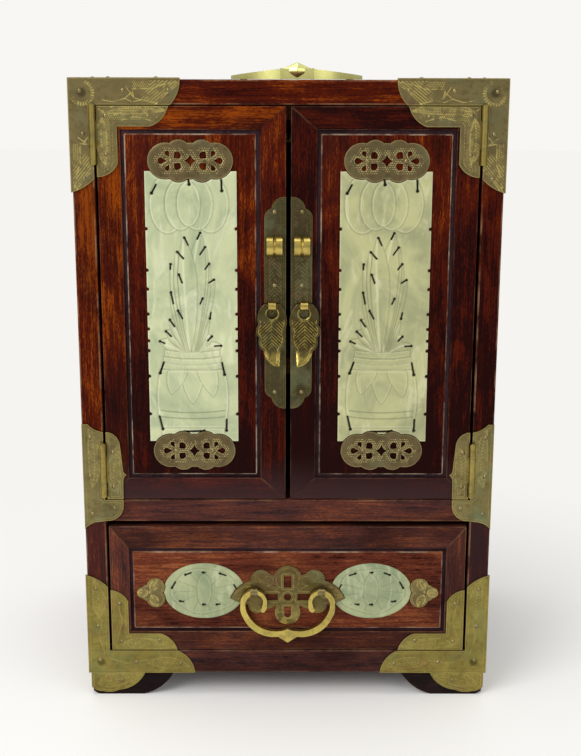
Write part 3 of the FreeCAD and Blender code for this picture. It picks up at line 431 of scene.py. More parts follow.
def mirrored(mesh: Mesh) -> None:
    """Turn a right-hand shape into its left-hand twin."""
    bmesh.ops.transform(mesh, matrix=Matrix.Scale(-1, 4, (1, 0, 0)), verts=mesh.verts)
    bmesh.ops.reverse_faces(mesh, faces=mesh.faces)


@dataclass
class WorkedSheet:
    """A sheet of brass or stone with a free outline and a worked front, in millimetres.

    The work is given point by point: "height" is measured from the seat, and the rest are marks that the finish
    reads. The edge goes back to the depth. A lift bends the whole sheet forwards.
    """

    shape: Shape
    low: Point
    high: Point
    work: Work
    step: float = 0.5
    depth: float = 0.3
    open_back: bool = False
    lift: Optional[Field] = None
    trim: float = 0.12
    nudge: float = 1e-3
    passes: int = 3

    def _cut(self, mesh: Mesh) -> Array:
        """Trim a grid to the outline and return where its points are.

        Args:
            mesh: The grid.

        Returns:
            The points that are left, in millimetres.
        """
        size = np.array(self.high) - np.array(self.low)
        middle = np.array(self.low) + size / 2
        spots = np.array([v.co[:2] for v in mesh.verts]) * size + middle
        inside = self.shape.distance(spots) < -self.trim * self.step
        mesh.verts.index_update()
        waste = [f for f in mesh.faces if not any(inside[v.index] for v in f.verts)]
        bmesh.ops.delete(mesh, geom=waste, context="FACES")
        spots = np.array([v.co[:2] for v in mesh.verts]) * size + middle
        for _ in range(self.passes):
            far = self.shape.distance(spots)
            slope = np.stack([self.shape.distance(spots + np.array(move)) - far
                              for move in ((self.nudge, 0), (0, self.nudge))], axis=1) / self.nudge
            slope /= np.maximum(np.hypot(slope[:, 0], slope[:, 1]), 1e-6)[:, None]
            spots = spots - np.where(far > 0, far, 0)[:, None] * slope
        return spots

    def build(self, name: str, place: Matrix, left: bool = False) -> Piece:
        """Make the sheet.

        Args:
            name: The object's name.
            place: The matrix from place_on.
            left: Whether the left-hand twin is wanted.

        Returns:
            The object.
        """
        mesh = bmesh.new()
        counts = [max(2, round((b - a) / self.step)) for a, b in zip(self.low, self.high)]
        bmesh.ops.create_grid(mesh, x_segments=counts[0], y_segments=counts[1], size=0.5)
        spots = self._cut(mesh)
        worked = dict(self.work(spots))
        heights = worked.pop("height")
        raised = self.lift(spots) if self.lift else np.zeros(len(spots))
        layers = {key: mesh.verts.layers.float.new(key) for key in worked}
        for n, vert in enumerate(list(mesh.verts)):
            vert.co = (spots[n, 0], spots[n, 1], heights[n] + raised[n])
            for key, layer in layers.items():
                vert[layer] = worked[key][n]
        self._close(mesh)
        bmesh.ops.transform(mesh, matrix=place, verts=mesh.verts)
        if left:
            mirrored(mesh)
        return finished(mesh, name, sharp=50)

    def _close(self, mesh: Mesh) -> None:
        """Give the sheet its edge and its back: flat, or bent with the front.

        Args:
            mesh: The front of the sheet.
        """
        if self.lift:
            made = bmesh.ops.extrude_face_region(mesh, geom=mesh.faces[:], use_keep_orig=True)["geom"]
            bmesh.ops.reverse_faces(mesh, faces=[f for f in made if isinstance(f, bmesh.types.BMFace)])
        else:
            made = bmesh.ops.extrude_edge_only(mesh, edges=[e for e in mesh.edges if e.is_boundary])["geom"]
        for vert in (v for v in made if isinstance(v, bmesh.types.BMVert)):
            lift = self.lift(np.array([vert.co[:2]]))[0] if self.lift else 0.0
            vert.co.z = lift - self.depth
        if not (self.lift or self.open_back):
            back = [e for e in made if isinstance(e, bmesh.types.BMEdge) and e.is_boundary]
            bmesh.ops.holes_fill(mesh, edges=back, sides=0)
        bmesh.ops.recalc_face_normals(mesh, faces=mesh.faces)


@dataclass
class Board:
    """A wooden board or frame member with softened edges and its own grain."""

    corners: Sequence[Point]
    front: float
    thickness: float
    grain: Grain
    soft: float = 0.5
    seed: int = 0
    tone: float = 0.0

    def add_to(self, mesh: Mesh) -> None:
        """Add the board to a mesh. Its corners are X and Z and its front is Y, all in millimetres.

        Args:
            mesh: The mesh that gets it.
        """
        part = bmesh.new()
        ring = [part.verts.new((x * MM, self.front * MM, z * MM)) for x, z in self.corners]
        face = part.faces.new(ring)
        grown = bmesh.ops.extrude_face_region(part, geom=[face])["geom"]
        bmesh.ops.translate(
            part, verts=[v for v in grown if isinstance(v, bmesh.types.BMVert)], vec=(0, self.thickness * MM, 0))
        bmesh.ops.recalc_face_normals(part, faces=part.faces)
        rubbed = part.faces.layers.float.new("arris")
        bevelled = bmesh.ops.bevel(
            part, geom=part.edges[:], offset=self.soft * MM, segments=2, profile=0.5, affect="EDGES", material=-1)
        for face in bevelled["faces"]:
            face[rubbed] = 1.0
        layer = part.verts.layers.float_vector.new("grain")
        tone = part.verts.layers.float.new("tone")
        shift = Vector(GRAIN_SHIFT) * self.seed * SHIFT_STEP
        for vert in part.verts:
            spot = dict(zip("XYZ", vert.co / MM))
            vert[layer] = Vector([spot[letter] for letter in self.grain.value]) + shift
            vert[tone] = self.tone
        data = bpy.data.meshes.new("part")
        part.to_mesh(data)
        part.free()
        mesh.from_mesh(data)
        bpy.data.meshes.remove(data)


def plank(low: Vector, high: Vector, grain: Grain, soft: float, seed: int, tone: float) -> Board:
    """A rectangular board between two corners.

    Args:
        low: The lowest corner, in metres.
        high: The highest corner.
        grain: The grain's way.
        soft: How much is taken off the edges.
        seed: Varies the grain.
        tone: How much lighter it is.

    Returns:
        The board.
    """
    x0, y0, z0 = low / MM
    x1, y1, z1 = high / MM
    return Board([(x0, z0), (x1, z0), (x1, z1), (x0, z1)], y0, y1 - y0, grain, soft, seed, tone)


def boards(name: str, *parts: Board) -> Piece:
    """One object from some boards.

    Args:
        name: The object's name.
        parts: The boards.

    Returns:
        The object.
    """
    mesh = bmesh.new()
    for part in parts:
        part.add_to(mesh)
    return finished(mesh, name, sharp=35)


# ---- finishes


class Graph:
    """A short way to place and join shader nodes in one tree."""

    def __init__(self, tree: Tree) -> None:
        """Keep the tree."""
        self.tree = tree

    def add(self, kind: str, **settings: object) -> Node:
        """Add a node, with its settings as attributes.

        Args:
            kind: The node's type, without ShaderNode.
            settings: Its settings.

        Returns:
            The node.
        """
        node = self.tree.nodes.new("ShaderNode" + kind)
        for key, value in settings.items():
            setattr(node, key, value)
        return node

    def feed(self, socket: Socket, value: object) -> None:
        """Join a socket to an output, or set its number or its colour.

        Args:
            socket: The input.
            value: What it gets.
        """
        if isinstance(value, Socket):
            self.tree.links.new(value, socket)
        else:
            socket.default_value = (*value, 1.0) if socket.type == "RGBA" else value

    def wire(self, node: Node, **values: object) -> Node:
        """Feed a node's inputs by name. An underscore in a name stands for a space.

        Args:
            node: The node.
            values: What its inputs get.

        Returns:
            The node.
        """
        for key, value in values.items():
            self.feed(node.inputs[key.replace("_", " ")], value)
        return node

    def give(self, node: Node, *values: object) -> Node:
        """Feed a node's first inputs in order.

        Args:
            node: The node.
            values: What they get.

        Returns:
            The node.
        """
        for socket, value in zip(node.inputs, values):
            self.feed(socket, value)
        return node

    def math(self, operation: str, a: object, b: object, clamp: bool = False) -> Socket:
        """What a Math node makes of two values."""
        return self.give(self.add("Math", operation=operation, use_clamp=clamp), a, b).outputs[0]

    def times(self, a: object, b: object) -> Socket:
        """The product of two values."""
        return self.math("MULTIPLY", a, b)

    def plus(self, a: object, b: object) -> Socket:
        """The sum of two values."""
        return self.math("ADD", a, b)

    def less(self, a: object, b: object) -> Socket:
        """The first value less the second."""
        return self.math("SUBTRACT", a, b)

    def noise(self, vector: Socket, scale: float, detail: float, rough: float, warp: float = 0.0) -> Socket:
        """A noise value from 0 to 1."""
        values = {"Vector": vector, "Scale": scale, "Detail": detail, "Roughness": rough, "Distortion": warp}
        return self.wire(self.add("TexNoise"), **values).outputs["Fac"]

    def scaled(self, vector: Socket, scale: Triple, shift: Triple = (0, 0, 0)) -> Socket:
        """A vector stretched and shifted."""
        return self.wire(self.add("Mapping"), Vector=vector, Scale=scale, Location=shift).outputs[0]

    def range(self, value: object, low: float, high: float, to_low: float = 0.0, to_high: float = 1.0) -> Socket:
        """A value moved smoothly from one range to another and held there."""
        node = self.add("MapRange", interpolation_type="SMOOTHSTEP")
        return self.give(node, value, low, high, to_low, to_high).outputs[0]

    def mix(self, share: object, a: object, b: object) -> Socket:
        """A colour between two colours.

        Args:
            share: How much there is of the second.
            a: The first colour.
            b: The second colour.

        Returns:
            The result's socket.
        """
        node = self.add("Mix", data_type="RGBA")
        self.feed(node.inputs["Factor"], share)
        first, second = (socket for socket in node.inputs if socket.type == "RGBA")
        self.feed(first, a)
        self.feed(second, b)
        return next(socket for socket in node.outputs if socket.type == "RGBA")

    def group(self, group: Tree, **values: object) -> dict[str, Socket]:
        """Place a node group with its own values and give its outputs by name."""
        return dict(self.wire(self.add("Group", node_tree=group), **values).outputs.items())

    def mark(self, name: str, output: str = "Fac") -> Socket:
        """A value kept on the mesh."""
        return self.add("Attribute", attribute_name=name, attribute_type="GEOMETRY").outputs[output]

    def bump(self, height: object, strength: float, distance: float) -> Socket:
        """A bumped normal. The distance is in millimetres."""
        return self.wire(self.add("Bump"), Strength=strength, Distance=distance * MM, Height=height).outputs[0]


def new_group(name: str, takes: dict[str, object], gives: Sequence[tuple[str, str]]) -> tuple[Graph, dict, dict]:
    """Start a node group.

    Args:
        name: The group's name.
        takes: Its inputs by name: a number, a colour, or None for a vector.
        gives: Its outputs, each a name and "Float" or "Color".

    Returns:
        The graph, the inputs' sockets and the outputs' sockets by name.
    """
    tree = bpy.data.node_groups.new(name, "ShaderNodeTree")
    for key, value in takes.items():
        kind = "Vector" if value is None else "Color" if isinstance(value, tuple) else "Float"
        socket = tree.interface.new_socket(key, in_out="INPUT", socket_type="NodeSocket" + kind)
        if value is not None:
            socket.default_value = (*value, 1.0) if kind == "Color" else value
    for key, kind in gives:
        tree.interface.new_socket(key, in_out="OUTPUT", socket_type="NodeSocket" + kind)
    start, end = tree.nodes.new("NodeGroupInput"), tree.nodes.new("NodeGroupOutput")
    return Graph(tree), {s.name: s for s in start.outputs}, {s.name: s for s in end.inputs}


def make_edge_wear() -> Tree:
    """A group that finds worn edges: 1 on an arris, broken up by noise.

    Returns:
        The group.
    """
    graph, takes, gives = new_group(
        "EdgeWear", {"Vector": None, "Reach": 0.6, "Patchiness": 0.5}, [("Wear", "Float")])
    soft = graph.wire(graph.add("Bevel", samples=6), Radius=graph.times(takes["Reach"], MM))
    dot = graph.give(graph.add("VectorMath", operation="DOT_PRODUCT"), soft.outputs[0],
                     graph.add("NewGeometry").outputs["Normal"])
    edge = graph.range(graph.less(1.0, dot.outputs["Value"]), 0.01, 0.14)
    patch = graph.range(graph.noise(takes["Vector"], 90.0, 5.0, 0.6), 0.38, 0.62)
    kept = graph.less(1.0, graph.times(takes["Patchiness"], graph.less(1.0, patch)))
    graph.feed(gives["Wear"], graph.math("MULTIPLY", edge, kept, clamp=True))
    return graph.tree


@dataclass(frozen=True)
class Streak:
    """One layer of the wood's figure: its noise along and across the grain, and the range that shows."""

    along: float
    across: float
    detail: float
    low: float = 0.34
    high: float = 0.66
    warp: float = 0.0
    shift: Triple = (0, 0, 0)

    def add_to(self, graph: Graph, vector: Socket) -> Socket:
        """Place the layer's nodes and give its value."""
        stretched = graph.scaled(vector, (self.along, self.across, self.across), self.shift)
        return graph.range(graph.noise(stretched, 1.0, self.detail, 0.6, self.warp), self.low, self.high)


FIGURE = Streak(0.018, 0.30, 5.0, warp=0.8)
FIBRE = Streak(0.060, 1.5, 5.0)
FLECKS = Streak(0.45, 1.9, 3.0, low=0.40, shift=(3, 11, 5))
CLOUDS = Streak(0.022, 0.045, 5.0, warp=1.0, shift=(17, 2, 9))
PORES = Streak(0.20, 2.6, 2.0, low=0.58, high=0.70)
SMOKE = Streak(0.007, 0.020, 4.0, low=0.46, high=0.64, warp=0.4, shift=(31, 7, 5))
PORE_COLOUR = (0.007, 0.0015, 0.0015)
SMOKE_COLOUR = (0.009, 0.0022, 0.0026)


def make_wood_grain() -> Tree:
    """A group that gives the colour and height of stained wood. Its vector is in millimetres, along the grain first.

    Returns:
        The group.
    """
    graph, takes, gives = new_group(
        "WoodGrain",
        {"Vector": None, "Dark": (0.03, 0.01, 0.01), "Middle": (0.1, 0.02, 0.01), "Light": (0.3, 0.09, 0.02),
         "Lightness": 0.5, "Grime": 0.5},
        [("Color", "Color"), ("Height", "Float"), ("Gloss", "Float")])
    figure, fibre, flecks, clouds, pores, smoke = (
        streak.add_to(graph, takes["Vector"]) for streak in (FIGURE, FIBRE, FLECKS, CLOUDS, PORES, SMOKE))
    tone = graph.plus(graph.times(figure, 0.24), graph.times(fibre, 0.24))
    tone = graph.plus(graph.plus(tone, graph.times(flecks, 0.22)), graph.times(clouds, 0.30))
    tone = graph.math("ADD", tone, graph.less(takes["Lightness"], 0.5), clamp=True)
    low = graph.mix(graph.range(tone, 0.10, 0.50), takes["Dark"], takes["Middle"])
    colour = graph.mix(graph.range(tone, 0.50, 0.98), low, takes["Light"])
    colour = graph.mix(graph.times(pores, 0.55), colour, PORE_COLOUR)
    colour = graph.mix(graph.times(smoke, takes["Grime"]), colour, SMOKE_COLOUR)
    graph.feed(gives["Color"], colour)
    graph.feed(gives["Height"], graph.less(graph.times(fibre, 0.4), pores))
    graph.feed(gives["Gloss"], graph.plus(0.36, graph.times(clouds, 0.16)))
    return graph.tree


def make_patina() -> Tree:
    """A group of tarnish on brass: how dull, how red and how green each place is, and where cut lines break.

    Returns:
        The group.
    """
    graph, takes, gives = new_group(
        "Patina", {"Vector": None, "Scale": 1.0},
        [("Dull", "Float"), ("Red", "Float"), ("Green", "Float"), ("Break", "Float"), ("Speck", "Float")])
    scaled = graph.wire(graph.add("VectorMath", operation="SCALE"), Scale=takes["Scale"])
    vector = graph.give(scaled, takes["Vector"]).outputs[0]
    aside = graph.scaled(vector, (1, 1, 1), (3, 5, 7))
    graph.feed(gives["Dull"], graph.range(graph.noise(vector, 75.0, 6.0, 0.62, 0.5), 0.32, 0.7))
    graph.feed(gives["Red"], graph.range(graph.noise(vector, 85.0, 6.0, 0.65, 0.8), 0.52, 0.68))
    graph.feed(gives["Green"], graph.range(graph.noise(aside, 60.0, 6.0, 0.65), 0.50, 0.68))
    graph.feed(gives["Break"], graph.noise(vector, 330.0, 3.0, 0.6))
    graph.feed(gives["Speck"], graph.noise(vector, 900.0, 3.0, 0.6))
    return graph.tree


@dataclass
class Groups:
    """The effects that several finishes share."""

    wear: Tree = field(default_factory=make_edge_wear)
    grain: Tree = field(default_factory=make_wood_grain)
    patina: Tree = field(default_factory=make_patina)


def start_material(name: str) -> tuple[Material, Graph, Node, Socket]:
    """Start a material.

    Args:
        name: Its name.

    Returns:
        The material, its graph, its Principled shader and its Object coordinates.
    """
    made = bpy.data.materials.new(name)
    made.use_nodes = True
    made.node_tree.nodes.clear()
    graph = Graph(made.node_tree)
    shader = graph.add("BsdfPrincipled")
    graph.wire(graph.add("OutputMaterial"), Surface=shader.outputs[0])
    return made, graph, shader, graph.add("TexCoord").outputs["Object"]


# Heights between which the painted light at the top turns into painted shade below.
PAINTED_LIGHT_HEIGHTS = (90.0, 320.0)
HAZE_HEIGHTS = (116.0, 150.0)
HAZE_COLOUR = (0.052, 0.026, 0.027)


def toned(colour: Colour, share: float) -> Colour:
    """A share of a colour, never over 1."""
    return tuple(min(1.0, value * share) for value in colour)


@dataclass(frozen=True)
class WoodFinish:
    """Stained and polished wood, lighter at the top and darker towards the floor as painted light and shade, with worn
    arrises and orange where it is rubbed.
    """

    name: str
    dark: Colour = (0.012, 0.0016, 0.0014)
    middle: Colour = (0.060, 0.0060, 0.0014)
    light: Colour = (0.250, 0.0480, 0.0020)
    lightness: float = 0.50
    grime: float = 0.60
    worn: Colour = (0.30, 0.16, 0.085)
    wear: float = 0.55
    reach: float = 0.7
    # How much lighter the top and darker the bottom are: painted light and shade.
    fall: float = 0.16
    haze: float = 0.0
    way: Optional[Grain] = None

    def make(self, groups: Groups) -> Material:
        """Build the material. With a way it reads Object coordinates, and otherwise the boards' own grain.

        Args:
            groups: The shared effects.

        Returns:
            The material.
        """
        made, graph, shader, place = start_material(self.name)
        parts = graph.wire(graph.add("SeparateXYZ"), Vector=graph.scaled(place, (1 / MM, 1 / MM, 1 / MM))).outputs
        if self.way is None:
            vector = graph.mark("grain", "Vector")
        else:
            vector = graph.give(graph.add("CombineXYZ"), *(parts[letter] for letter in self.way.value)).outputs[0]
        tone = graph.plus(graph.mark("tone"), self.lightness)
        # Lighter at the top and darker towards the floor: painted light and shade.
        high = graph.range(parts["Z"], *PAINTED_LIGHT_HEIGHTS, -self.fall, self.fall)
        grain = graph.group(groups.grain, Vector=vector, Dark=self.dark, Middle=self.middle, Light=self.light,
                            Lightness=graph.plus(tone, high), Grime=self.grime)
        colour = graph.mix(graph.range(parts["Z"], *HAZE_HEIGHTS, self.haze, 0.0), grain["Color"], HAZE_COLOUR)
        wear = graph.group(groups.wear, Vector=place, Reach=self.reach, Patchiness=0.75)["Wear"]
        patch = graph.range(graph.noise(place, 60.0, 5.0, 0.65), 0.40, 0.64)
        share = graph.times(graph.math("MAXIMUM", wear, graph.times(graph.mark("arris"), patch)), self.wear)
        graph.wire(shader, Base_Color=graph.mix(share, colour, self.worn),
                   Roughness=graph.plus(grain["Gloss"], graph.times(share, 0.2)),
                   Normal=graph.bump(grain["Height"], 0.35, 0.10), Specular_IOR_Level=0.03)
        return made


@dataclass(frozen=True)
class BrassFinish:
    """Old brass: dull olive where it is plain, bright where it is rubbed and in its cut lines, as bared metal and
    painted highlight, with reddish tarnish.
    """

    name: str
    plain: Colour = (0.165, 0.130, 0.055)
    bright: Colour = (0.660, 0.540, 0.170)
    red: Colour = (0.120, 0.060, 0.040)
    green: Colour = (0.150, 0.165, 0.090)
    redness: float = 0.45
    greenness: float = 0.45
    dullness: float = 0.55
    roughness: float = 0.42
    worked: bool = False
    pitted: float = 0.40

    def make(self, groups: Groups) -> Material:
        """Build the material.

        Args:
            groups: The shared effects.

        Returns:
            The material.
        """
        made, graph, shader, place = start_material(self.name)
        patina = graph.group(groups.patina, Vector=place, Scale=1.0)
        wear = graph.group(groups.wear, Vector=place, Reach=0.45, Patchiness=0.4)["Wear"]
        dull = graph.times(patina["Dull"], self.dullness)
        colour = graph.mix(dull, toned(self.plain, 1.25), toned(self.plain, 0.50))
        colour = graph.mix(graph.range(patina["Break"], 0.50, 0.66, 0.0, self.pitted), colour, toned(self.plain, 0.45))
        colour = graph.mix(graph.times(patina["Green"], self.greenness), colour, self.green)
        colour = graph.mix(graph.times(patina["Red"], self.redness), colour, self.red)
        rubbed = graph.times(wear, 0.45)
        if self.worked:
            # Cut lines are made bright: bared metal, and painted highlight where their walls would catch the light.
            cut = graph.times(graph.mark("cut"), graph.range(patina["Break"], 0.38, 0.56, 0.10, 1.0))
            rubbed = graph.math("MAXIMUM", rubbed, graph.times(cut, 0.95))
            # Painted shade and dirt, darker where the marks say so.
            colour = graph.mix(graph.mark("hollow"), colour, toned(self.plain, 0.22))
        rough = graph.plus(graph.times(dull, 0.22), self.roughness)
        graph.wire(shader, Base_Color=graph.mix(rubbed, colour, self.bright), Metallic=1.0,
                   Roughness=graph.less(rough, graph.times(rubbed, 0.14)),
                   Normal=graph.bump(patina["Speck"], self.pitted * 0.8, 0.12))
        return made


@dataclass(frozen=True)
class StoneFinish:
    """Pale waxy carved stone, clouded, with painted shade and dirt in the cuts, painted highlight on its edges and
    piercings painted near black for the shade in them.
    """

    name: str
    pale: Colour = (0.500, 0.530, 0.305)
    deep: Colour = (0.310, 0.365, 0.215)
    # The colour of the painted shade and dirt in the hollows and cuts.
    grime: Colour = (0.130, 0.135, 0.060)
    # The pale colour of the veins and of the painted highlight on carved edges.
    edge: Colour = (0.660, 0.680, 0.470)
    # Near black painted into the piercings for the shade in them.
    pit: Colour = (0.002, 0.0015, 0.001)

    def make(self, groups: Groups) -> Material:
        """Build the material.

        Args:
            groups: The shared effects.

        Returns:
            The material.
        """
        made, graph, shader, place = start_material(self.name)
        cloud = graph.range(graph.noise(place, 30.0, 6.0, 0.62, 1.0), 0.34, 0.68)
        vein = graph.range(graph.noise(graph.scaled(place, (90, 90, 30)), 1.0, 5.0, 0.65, 1.5), 0.52, 0.70)
        colour = graph.mix(cloud, self.pale, self.deep)
        colour = graph.mix(graph.times(vein, 0.50), colour, self.edge)
        # Painted shade and dirt in the hollows, then painted highlight along edges and ribs.
        colour = graph.mix(graph.times(graph.mark("hollow"), 0.75), colour, self.grime)
        colour = graph.mix(graph.times(graph.mark("crest"), 0.65), colour, self.edge)
        # Pierced places are painted near black for the shade in the holes.
        pierced = graph.mark("pierced")
        rough = graph.plus(0.34, graph.times(cloud, 0.12))
        graph.wire(shader, Base_Color=graph.mix(pierced, colour, self.pit), Specular_IOR_Level=0.35,
                   Roughness=graph.math("MAXIMUM", rough, pierced),
                   Normal=graph.bump(graph.noise(place, 420.0, 4.0, 0.6), 0.15, 0.12),
                   Coat_Weight=graph.times(graph.less(1.0, pierced), 0.18), Coat_Roughness=0.15)
        return made


@dataclass(frozen=True)
class FabricFinish:
    """The short-napped cloth that covers the linings."""

    name: str
    colour: Colour = (0.125, 0.008, 0.014)

    def make(self, groups: Groups) -> Material:
        """Build the material.

        Args:
            groups: The shared effects.

        Returns:
            The material.
        """
        made, graph, shader, place = start_material(self.name)
        weave = graph.noise(graph.scaled(place, (1500, 1500, 1500)), 1.0, 3.0, 0.7)
        brushed = graph.range(graph.noise(place, 30.0, 4.0, 0.6, 1.0), 0.35, 0.7)
        colour = graph.mix(graph.times(weave, 0.5), self.colour, toned(self.colour, 0.35))
        colour = graph.mix(graph.times(brushed, 0.35), colour, toned(self.colour, 1.9))
        graph.wire(shader, Base_Color=colour, Roughness=0.95, Sheen_Weight=0.08, Sheen_Roughness=0.4,
                   Specular_IOR_Level=0.10, Normal=graph.bump(weave, 0.6, 0.25))
        return made


@dataclass(frozen=True)
class SteelFinish:
    """Plain brushed steel, slightly tarnished."""

    name: str
    colour: Colour = (0.45, 0.44, 0.42)

    def make(self, groups: Groups) -> Material:
        """Build the material.

        Args:
            groups: The shared effects.

        Returns:
            The material.
        """
        made, graph, shader, place = start_material(self.name)
        patina = graph.group(groups.patina, Vector=place, Scale=2.0)
        graph.wire(shader, Base_Color=graph.mix(patina["Dull"], self.colour, toned(self.colour, 0.6)), Metallic=1.0,
                   Roughness=graph.plus(0.3, graph.times(patina["Speck"], 0.2)))
        return made


RUBBED_WOOD = (0.36, 0.27, 0.19)
PLAIN_WOOD = {"dark": (0.07, 0.026, 0.012), "middle": (0.16, 0.070, 0.032), "light": (0.30, 0.155, 0.070),
              "grime": 0.25, "wear": 0.3, "fall": 0.0}
FINISHES = (
    StoneFinish("carved_stone"),
    # The right plaque's stone is a darker copy: painted shade, the light falling from the left.
    StoneFinish("shaded_right_carved_stone", pale=(0.430, 0.430, 0.210), deep=(0.265, 0.275, 0.140), edge=(0.60, 0.59, 0.37)),
    StoneFinish("oval_stone", pale=(0.360, 0.390, 0.205), deep=(0.190, 0.240, 0.130), edge=(0.54, 0.56, 0.36)),
    FabricFinish("lining_fabric"),
    SteelFinish("steel"),
    WoodFinish("case_wood", haze=0.4),
    WoodFinish("front_wood", lightness=0.47, wear=0.22, haze=0.65),
    WoodFinish("rail_wood", dark=(0.020, 0.012, 0.014), middle=(0.075, 0.024, 0.018), light=(0.21, 0.060, 0.022),
               wear=0.30, fall=0.0),
    WoodFinish("panel_wood", lightness=0.34, wear=0.8, reach=1.0, worn=RUBBED_WOOD, grime=0.35, fall=0.25),
    WoodFinish("drawer_panel_wood", middle=(0.105, 0.024, 0.012), light=(0.27, 0.080, 0.028), lightness=0.59,
               wear=0.7, worn=RUBBED_WOOD, reach=1.0, grime=0.4, fall=0.0),
    WoodFinish("groove_wood", dark=(0.012, 0.007, 0.010), middle=(0.030, 0.015, 0.020), light=(0.060, 0.028, 0.030),
               wear=0.0, fall=0.05),
    WoodFinish("foot_wood", dark=(0.010, 0.007, 0.007), middle=(0.022, 0.012, 0.011), lightness=0.20, grime=0.9,
               fall=0.0, way=Grain.ACROSS),
    WoodFinish("inner_wood", way=Grain.ACROSS, **PLAIN_WOOD),
    WoodFinish("side_wood", way=Grain.DEEP, **PLAIN_WOOD),
    BrassFinish("sheet_brass"),
    BrassFinish("worked_brass", worked=True),
    BrassFinish("lock_brass", plain=(0.054, 0.045, 0.020), bright=(0.34, 0.28, 0.11), worked=True),
    BrassFinish("low_brass", plain=(0.235, 0.190, 0.050), green=(0.190, 0.205, 0.075), red=(0.190, 0.095, 0.045),
                worked=True, redness=0.6, greenness=0.6),
    BrassFinish("dull_brass", plain=(0.170, 0.140, 0.056), green=(0.165, 0.190, 0.100), worked=True, redness=0.35,
                greenness=0.7),
    BrassFinish("plate_brass", plain=(0.125, 0.096, 0.034), bright=(0.44, 0.35, 0.11), worked=True),
    BrassFinish("cast_brass", plain=(0.42, 0.32, 0.085), bright=(0.85, 0.70, 0.28), redness=0.25, greenness=0.1,
                dullness=0.4, roughness=0.28),
    BrassFinish("leaf_brass", plain=(0.066, 0.051, 0.019), bright=(0.40, 0.31, 0.08), worked=True, redness=0.3,
                greenness=0.3, roughness=0.34),
    BrassFinish("nail_brass", plain=(0.230, 0.180, 0.080), bright=(0.65, 0.54, 0.22), roughness=0.30),
    BrassFinish("hinge_brass", plain=(0.280, 0.215, 0.060), bright=(0.72, 0.60, 0.22), redness=0.4, roughness=0.34),
    BrassFinish("cloud_brass", plain=(0.130, 0.098, 0.046), bright=(0.62, 0.51, 0.22), worked=True, redness=0.3,
                greenness=0.3),
    BrassFinish("bail_brass", plain=(0.47, 0.37, 0.095), bright=(0.85, 0.72, 0.30), redness=0.35, greenness=0.1,
                dullness=0.4, roughness=0.32),
    BrassFinish("handle_brass", plain=(0.92, 0.80, 0.30), bright=(1.0, 0.92, 0.55), redness=0.06, greenness=0.0,
                dullness=0.12, roughness=0.34, pitted=0.1),
)


def make_finishes() -> Finishes:
    """Make every material of the cabinet, by name."""
    groups = Groups()
    return {finish.name: finish.make(groups) for finish in FINISHES}


def dress(thing: Piece, finish: Material) -> None:
    """Give a whole object one material."""
    thing.data.materials.clear()
    thing.data.materials.append(finish)


def dress_nodes(finish: Material, *nodes: str) -> None:
    """Give some of the plain solids a finish as they are."""
    for node in nodes:
        dress(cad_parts[node], finish)


def fit(thing: Piece, body: str, finish: Material, slot: str, *nodes: str) -> Piece:
    """Dress a new piece and hang it on its body.

    Args:
        thing: The piece.
        body: The body that it moves with.
        finish: Its material.
        slot: The record's material slot; not used.
        nodes: The plain solids that it stands for, if any.

    Returns:
        The piece.
    """
    dress(thing, finish)
    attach(thing, body)
    if nodes:
        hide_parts(*nodes)
    LOG.info("%s: %d faces, on %s", thing.name, len(thing.data.polygons), body)
    return thing


def fit_both(sheet: WorkedSheet, name: str, place: Matrix, body: str, finish: Material, slot: str = "sheet_brass",
             *nodes: str) -> None:
    """Make the right and the left twin of a sheet and hang each on its body.

    Args:
        sheet: The right-hand sheet.
        name: The pieces' name, with {hand} for the side, as in the body's name too.
        place: The matrix from place_on.
        body: The body that they move with.
        finish: Their material.
        slot: The record's material slot.
        nodes: The plain solids that they stand for, if any.
    """
    for hand in HANDS:
        made = sheet.build(name.format(hand=hand), place, hand == "left")
        fit(made, body.format(hand=hand), finish, slot, *nodes)


# ---- places that several pieces share


@dataclass(frozen=True)
class Places:
    """Where the faces and edges of the cabinet lie, in millimetres."""

    half_width: float = 115.0
    opening_half: float = 103.2
    front: float = -78.6
    back: float = 86.4
    plate_face: float = -79.4
    panel_face: float = -78.3
    case_bottom: float = 14.4
    drawer_floor: float = 28.4
    divider_bottom: float = 107.4
    divider_top: float = 120.4
    opening_top: float = 338.4
    case_top: float = 351.4
    side_face: float = 115.8
    top_face: float = 352.2
    hinge_x: float = 103.2
    hinge_low: float = 122.6
    hinge_high: float = 307.4
    hinge_length: float = 31.0
    knuckle_clear: float = 2.05
    brass: float = 0.8
    panel_thickness: float = 8.5


AT = Places()
DOOR_SPACE = block(1.3, 101.6, 121.0, 337.8)
CUPBOARD = block(-AT.hinge_x, AT.hinge_x, AT.divider_top, AT.opening_top)
DRAWER_SPACE = block(-101.7, 101.7, 29.0, 104.3)
DRAWER_OPENING = block(-AT.opening_half, AT.opening_half, AT.drawer_floor, AT.divider_bottom)


@dataclass(frozen=True)
class Lay:
    """How a corner drawing lies on a face: where its corner is and which way it runs."""

    x: float
    z: float
    along: int
    up: int

    def out(self, corners: Sequence[Point]) -> list[Point]:
        """Drawing points placed on the face."""
        return [(self.x + self.along * u, self.z + self.up * v) for u, v in corners]

    def back(self, p: Array) -> Array:
        """Places on the face measured from the corner."""
        return (p - np.array((self.x, self.z))) * np.array((self.along, self.up))


def bounds_of(corners: Sequence[Point], spare: float = 0.6) -> tuple[Point, Point]:
    """The lowest and highest corner round some points."""
    xs, zs = zip(*corners)
    return (min(xs) - spare, min(zs) - spare), (max(xs) + spare, max(zs) + spare)


